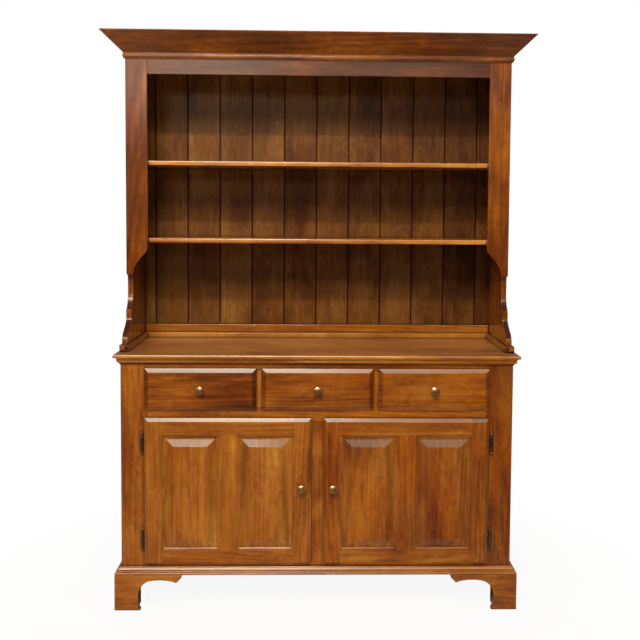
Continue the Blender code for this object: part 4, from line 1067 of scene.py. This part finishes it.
group, given = node_tree("tongued_boards", [
    ("Thickness", "Float"), ("Height", "Float"), ("Groove Width", "Float"), ("Groove Depth", "Float"),
    ("Gap", "Float")])
width = node(group, "GeometryNodeInputNamedAttribute", {"Name": "board_width"}, data_type="FLOAT")
sawn = maths(group, "SUBTRACT", width.outputs["Attribute"], given["Gap"])
flat_depth = maths(group, "SUBTRACT", given["Thickness"], given["Groove Depth"])
size = vector(group, sawn, flat_depth, given["Height"])
blank = node(group, "GeometryNodeMeshCube", {"Size": (1, 1, 1)}).outputs["Mesh"]
placed = node(group, "GeometryNodeInstanceOnPoints", {"Points": given["Geometry"], "Instance": blank,
                                                      "Scale": size}).outputs["Instances"]
real = node(group, "GeometryNodeRealizeInstances", {"Geometry": placed}).outputs["Geometry"]
facing = node(group, "ShaderNodeSeparateXYZ", {0: node(group, "GeometryNodeInputNormal").outputs["Normal"]})
front_only = node(group, "FunctionNodeCompare", {0: facing.outputs["Y"], 1: -0.5}, operation="LESS_THAN")
raised = node(group, "GeometryNodeExtrudeMesh", {"Mesh": real, "Selection": front_only.outputs["Result"],
                                                 "Offset Scale": given["Groove Depth"]}).outputs
slope = maths(group, "SUBTRACT", given["Groove Width"], given["Gap"])
keep = maths(group, "SUBTRACT", 1.0, maths(group, "DIVIDE", slope, sawn))
chamfered = node(group, "GeometryNodeScaleElements", {"Geometry": raised["Mesh"], "Selection": raised["Top"],
                                                      "Scale": keep, "Axis": (1, 0, 0)},
                 scale_mode="SINGLE_AXIS")
end_tree(group, given, chamfered.outputs["Geometry"])

DARK_RAMP = ((0.00, (0.024, 0.0066, 0.0018)), (0.30, (0.066, 0.0215, 0.0046)),
             (0.55, (0.124, 0.0475, 0.0100)), (0.78, (0.192, 0.0800, 0.0170)),
             (1.00, (0.290, 0.1300, 0.0300)))
back_look = stained_wood("back_board_grain", "z", 0.54, 0.42, 0.05, DARK_RAMP, 0.30, 0.30, True)
tongue_look = stained_wood("back_tongue_grain", "z", 0.05, 0.10, 0.0, DARK_RAMP, 0.5, 0.1)
low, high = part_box("hutch_back_boards")
furthest = int((high.x - abs(BOARD_OFFSET) - V_WIDTH) / BOARD_PITCH)
grooves = [n * BOARD_PITCH + BOARD_OFFSET for n in range(-furthest, furthest + 1)]
edges = [low.x - V_WIDTH / 2, *grooves, high.x + V_WIDTH / 2]
dice = random.Random(7)
centres = [((a + b) / 2, low.y + V_DEPTH + (high.y - low.y - V_DEPTH) / 2, (low.z + high.z) / 2)
           for a, b in zip(edges, edges[1:])]
# Board tones from left to right: the boards grow darker towards the right, with a small random spread for each.
BOARD_TONES = (1.05, 0.92, 0.80, 0.94, 0.76, 0.80, 0.86, 0.62, 0.62, 0.30, 0.00, -0.16)
boards_mesh = grown(group, centres, {"Thickness": high.y - low.y, "Height": high.z - low.z,
                                     "Groove Width": V_WIDTH, "Groove Depth": V_DEPTH,
                                     "Gap": BOARD_GAP, "Finish": back_look},
                    {"board_width": [b - a for a, b in zip(edges, edges[1:])],
                     "board_tone": [tone + dice.uniform(-0.05, 0.05)
                                    for tone, _ in zip(BOARD_TONES, centres)]})
boards_mesh = cut_off(cut_off(boards_mesh, (low.x, 0, 0), (-1, 0, 0)), (high.x, 0, 0), (1, 0, 0))
TONGUE_HALF, TONGUE_FRONT, TONGUE_REAR, TONGUE_EASE = 0.004, 0.0055, 0.0080, 0.0002
tongues = [(plank((x - TONGUE_HALF, low.y + TONGUE_FRONT, low.z),
                  (x + TONGUE_HALF, low.y + TONGUE_REAR, high.z), TONGUE_EASE), tongue_look)
           for x in grooves]
finish_piece("hutch_back_tongued", [(boards_mesh, back_look), *tongues], "case", "maple_dark",
             "hutch_back_boards")

dress_board("hutch_back_rail", "_plank", stained_wood("back_rail_grain", "x", 0.56, gloss=0.14), ease=0.0028)
low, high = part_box("hutch_cleat")
CLEAT_T, CLEAT_CHAMFER, CLEAT_EASE, CLEAT_TOUCH = 0.0117, 0.003, 0.0006, 0.0001
parts = []
for side, name in ((-1, "left"), (1, "right")):
    outer, inner = side * high.x, side * (high.x - CLEAT_T)
    section = [(outer, low.z), (inner, low.z), (inner, high.z - CLEAT_CHAMFER),
               (inner + side * CLEAT_CHAMFER, high.z), (outer, high.z)]
    arm = board(section, "y", low.y, high.y - CLEAT_T - CLEAT_TOUCH, CLEAT_EASE)
    parts.append((arm, stained_wood(f"cleat_{name}_grain", "y", 0.42)))
section = [(high.y, low.z), (high.y - CLEAT_T, low.z), (high.y - CLEAT_T, high.z - CLEAT_CHAMFER),
           (high.y - CLEAT_T + CLEAT_CHAMFER, high.z), (high.y, high.z)]
back = board(section, "x", low.x, high.x, CLEAT_EASE)
parts.append((back, stained_wood("cleat_back_grain", "x", 0.82)))
finish_piece("hutch_cleat_strips", parts, "case", "maple", "hutch_cleat")


# Cornice. A sprung crown with a bead and a cove at its foot, run in three mitred lengths and
# glued to the hutch, with triangular blocks behind it.
low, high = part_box("cornice")
half_hutch, hutch_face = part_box("hutch_side_right")[1].x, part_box("hutch_stile_left")[0].y
crown_out = high.x - half_hutch
COVE_RISE, BEAD_RISE, QUIRK_RISE, BEAD_OUT = 0.0082, 0.0080, 0.0045, 0.0085
CROWN_FOOT_OUT, CROWN_FILLET, CROWN_T = 0.006, 0.003, 0.019
bead_low, bead_top = low.z + COVE_RISE, low.z + COVE_RISE + BEAD_RISE
crown_foot = bead_top + QUIRK_RISE
slope = (high.z - CROWN_FILLET - crown_foot) / (crown_out - CROWN_FOOT_OUT)
back_foot = crown_foot + CROWN_T * math.sqrt(2) - slope * CROWN_FOOT_OUT
section = [(TOUCH, low.z)]
section += quarter(section[-1], (BEAD_OUT * 0.8, bead_low), 6)
section.append((BEAD_OUT, bead_low))
section += quarter((BEAD_OUT, bead_low + BEAD_RISE * 0.55), (CROWN_FOOT_OUT, bead_top), 8, hollow=True)
section += [(CROWN_FOOT_OUT, crown_foot), (crown_out, high.z - CROWN_FILLET), (crown_out, high.z)]
section += [((high.z - back_foot) / slope, high.z), (TOUCH, back_foot)]
lengths = mitred_lengths(section, half_hutch, hutch_face, case_back, ease=0.0004)
mitred_piece("cornice_run", lengths, "cornice", 0.33)


# Glue blocks of the cornice. Short triangular sticks of maple glued in the angle behind the
# crown, against the top rail and the ends of the hutch.
BLOCK_PLACES, BLOCK_HALF = (-0.56, -0.28, 0.0, 0.28, 0.56), 0.025
SIDE_BLOCK_START, SIDE_BLOCK_END = 0.10, 0.15
BLOCK_EASE, BLOCK_GAP, BLOCK_DROP, BLOCK_LIFT = 0.0005, 0.0004, 0.001, 0.002
rail_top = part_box("hutch_top_rail")[1].z - BLOCK_DROP
wedge_out = (rail_top - back_foot) / slope - BLOCK_EASE
block_look = stained_wood("cornice_block_grain", "z", 0.40)


def wedge(glued, outward):
    """Section of a glue block, from the face it is glued to out to the crown."""
    near = glued + outward * BLOCK_GAP
    return [(near, back_foot + BLOCK_LIFT), (near, rail_top), (glued + outward * wedge_out, rail_top)]


blocks = [board(wedge(hutch_face, -1), "x", x - BLOCK_HALF, x + BLOCK_HALF, BLOCK_EASE)
          for x in BLOCK_PLACES]
blocks += [board(wedge(side * half_hutch, side), "y", hutch_face + SIDE_BLOCK_START,
                 hutch_face + SIDE_BLOCK_END, BLOCK_EASE) for side in (-1, 1)]
finish_piece("cornice_glue_blocks", [(block, block_look) for block in blocks], "case", "maple")


# Fixings. Slotted brass screws in the hinge leaves and behind the knobs, steel brads along
# the back panel and the back boards, and four brass pegs under the cupboard shelf.
def driven(name, slotted):
    """A node group that sets one head on each place, turned to the place's own direction."""
    group, given = node_tree(name, [("Head Radius", "Float"), ("Head Height", "Float"),
                                    ("Proud", "Float"), ("Slot", "Float"), ("Seed", "Int")])

    def lifted(mesh, height):
        return node(group, "GeometryNodeTransform", {"Geometry": mesh, "Translation":
                                                     vector(group, z=height)}).outputs["Geometry"]

    head = node(group, "GeometryNodeMeshCylinder", {"Vertices": 24, "Radius": given["Head Radius"],
                                                    "Depth": given["Head Height"]}).outputs["Mesh"]
    half = maths(group, "MULTIPLY", given["Head Height"], 0.5)
    if slotted:
        long = maths(group, "MULTIPLY", given["Head Radius"], 3.0)
        size = vector(group, long, given["Slot"], given["Slot"])
        bar = lifted(node(group, "GeometryNodeMeshCube", {"Size": size}).outputs["Mesh"], half)
        head = node(group, "GeometryNodeMeshBoolean", {0: head, 1: bar}, operation="DIFFERENCE",
                    solver="EXACT").outputs["Mesh"]
    head = lifted(head, maths(group, "SUBTRACT", given["Proud"], half))
    aim = node(group, "GeometryNodeInputNamedAttribute", {"Name": "aim"}, data_type="FLOAT_VECTOR")
    along = node(group, "FunctionNodeAlignRotationToVector", {"Vector": aim.outputs["Attribute"]}, axis="Z")
    chance = node(group, "FunctionNodeRandomValue", {2: 0.0, 3: math.pi, "Seed": given["Seed"]},
                  data_type="FLOAT").outputs[1]
    twist = node(group, "FunctionNodeEulerToRotation", {"Euler": vector(group, z=chance)})
    turn = node(group, "FunctionNodeRotateRotation", {"Rotation": along.outputs["Rotation"],
                                                      "Rotate By": twist.outputs["Rotation"]},
                rotation_space="LOCAL").outputs["Rotation"]
    placed = node(group, "GeometryNodeInstanceOnPoints", {"Points": given["Geometry"], "Instance": head,
                                                          "Rotation": turn})
    end_tree(group, given, placed.outputs["Instances"])
    return group


def set_heads(group, name, body, places, size, look):
    """Heads of one size at (place, direction) pairs, as one piece on a body."""
    heads = grown(group, [place for place, _ in places], {**size, "Seed": 3, "Finish": look},
                  {"aim": [aim for _, aim in places]})
    finish_piece(name, [(heads, look)], body, "hinge_metal")


screws, brads = driven("slotted_screws", True), driven("brads", False)
brass_look = aged_metal("screw_brass", (0.200, 0.125, 0.060), (0.480, 0.330, 0.170), 0.35)
steel_look = aged_metal("brad_steel", (0.180, 0.170, 0.160), (0.420, 0.410, 0.400), 0.45)
HINGE_SCREW = {"Head Radius": 0.0025, "Head Height": 0.0010, "Proud": -0.0001, "Slot": 0.0008}
KNOB_SCREW = {"Head Radius": 0.0042, "Head Height": 0.0024, "Proud": 0.0018, "Slot": 0.0012}
BRAD = {"Head Radius": 0.0017, "Head Height": 0.0010, "Proud": 0.0003}
PEG = {"Head Radius": 0.0025, "Head Height": 0.010, "Proud": 0.0050}
TO_THE_BACK = (0, 1, 0)
for body, places in screw_places.items():
    set_heads(screws, body + "_hinge_screws", body, places, HINGE_SCREW, brass_look)
for name in (*DRAWER_TONES, *DOOR_TONES):
    knob_low, knob_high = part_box(name + "_knob")
    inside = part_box(name + "_box")[0].y + BOX_WALL if name in DRAWER_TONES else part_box(name + "_frame")[1].y
    place = ((knob_low.x + knob_high.x) / 2, inside, (knob_low.z + knob_high.z) / 2)
    set_heads(screws, name + "_knob_screw", name, [(place, TO_THE_BACK)], KNOB_SCREW, brass_look)

low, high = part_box("base_back_panel")
NAIL_INSET, NAIL_PITCH, NAIL_SPREAD = 0.009, 0.10, 0.27
columns, rows = round((high.x - low.x) / NAIL_PITCH), round((high.z - low.z) / NAIL_PITCH)
nails = []
for n in range(columns + 1):
    x = low.x + NAIL_INSET + (high.x - low.x - 2 * NAIL_INSET) * n / columns
    nails += [(x, high.y, z) for z in (low.z + NAIL_INSET, high.z - NAIL_INSET)]
for n in range(1, rows):
    z = low.z + NAIL_INSET + (high.z - low.z - 2 * NAIL_INSET) * n / rows
    nails += [(x, high.y, z) for x in (low.x + NAIL_INSET, high.x - NAIL_INSET)]
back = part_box("hutch_back_boards")[1].y
for name in ("hutch_top_board", "hutch_shelf_upper", "hutch_shelf_lower", "hutch_back_rail"):
    level = (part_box(name)[0].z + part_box(name)[1].z) / 2
    for left, right in zip(edges, edges[1:]):
        reach = (right - left) * NAIL_SPREAD
        nails += [((left + right) / 2 + way * reach, back, level) for way in (-1, 1)]
set_heads(brads, "back_brads", "case", [(nail, TO_THE_BACK) for nail in nails], BRAD, steel_look)

PEG_SUNK, PEG_BELOW, PEG_INSET = 0.004, 0.0027, 0.05
shelf_low, shelf_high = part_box("cupboard_shelf")
side_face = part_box("base_side_right")[0].x
pegs = [((side * (side_face - PEG_SUNK), y, shelf_low.z - PEG_BELOW), (side, 0, 0))
        for side in (-1, 1) for y in (shelf_low.y + PEG_INSET, shelf_high.y - PEG_INSET)]
set_heads(brads, "shelf_pegs", "case", pegs, PEG, brass_look)
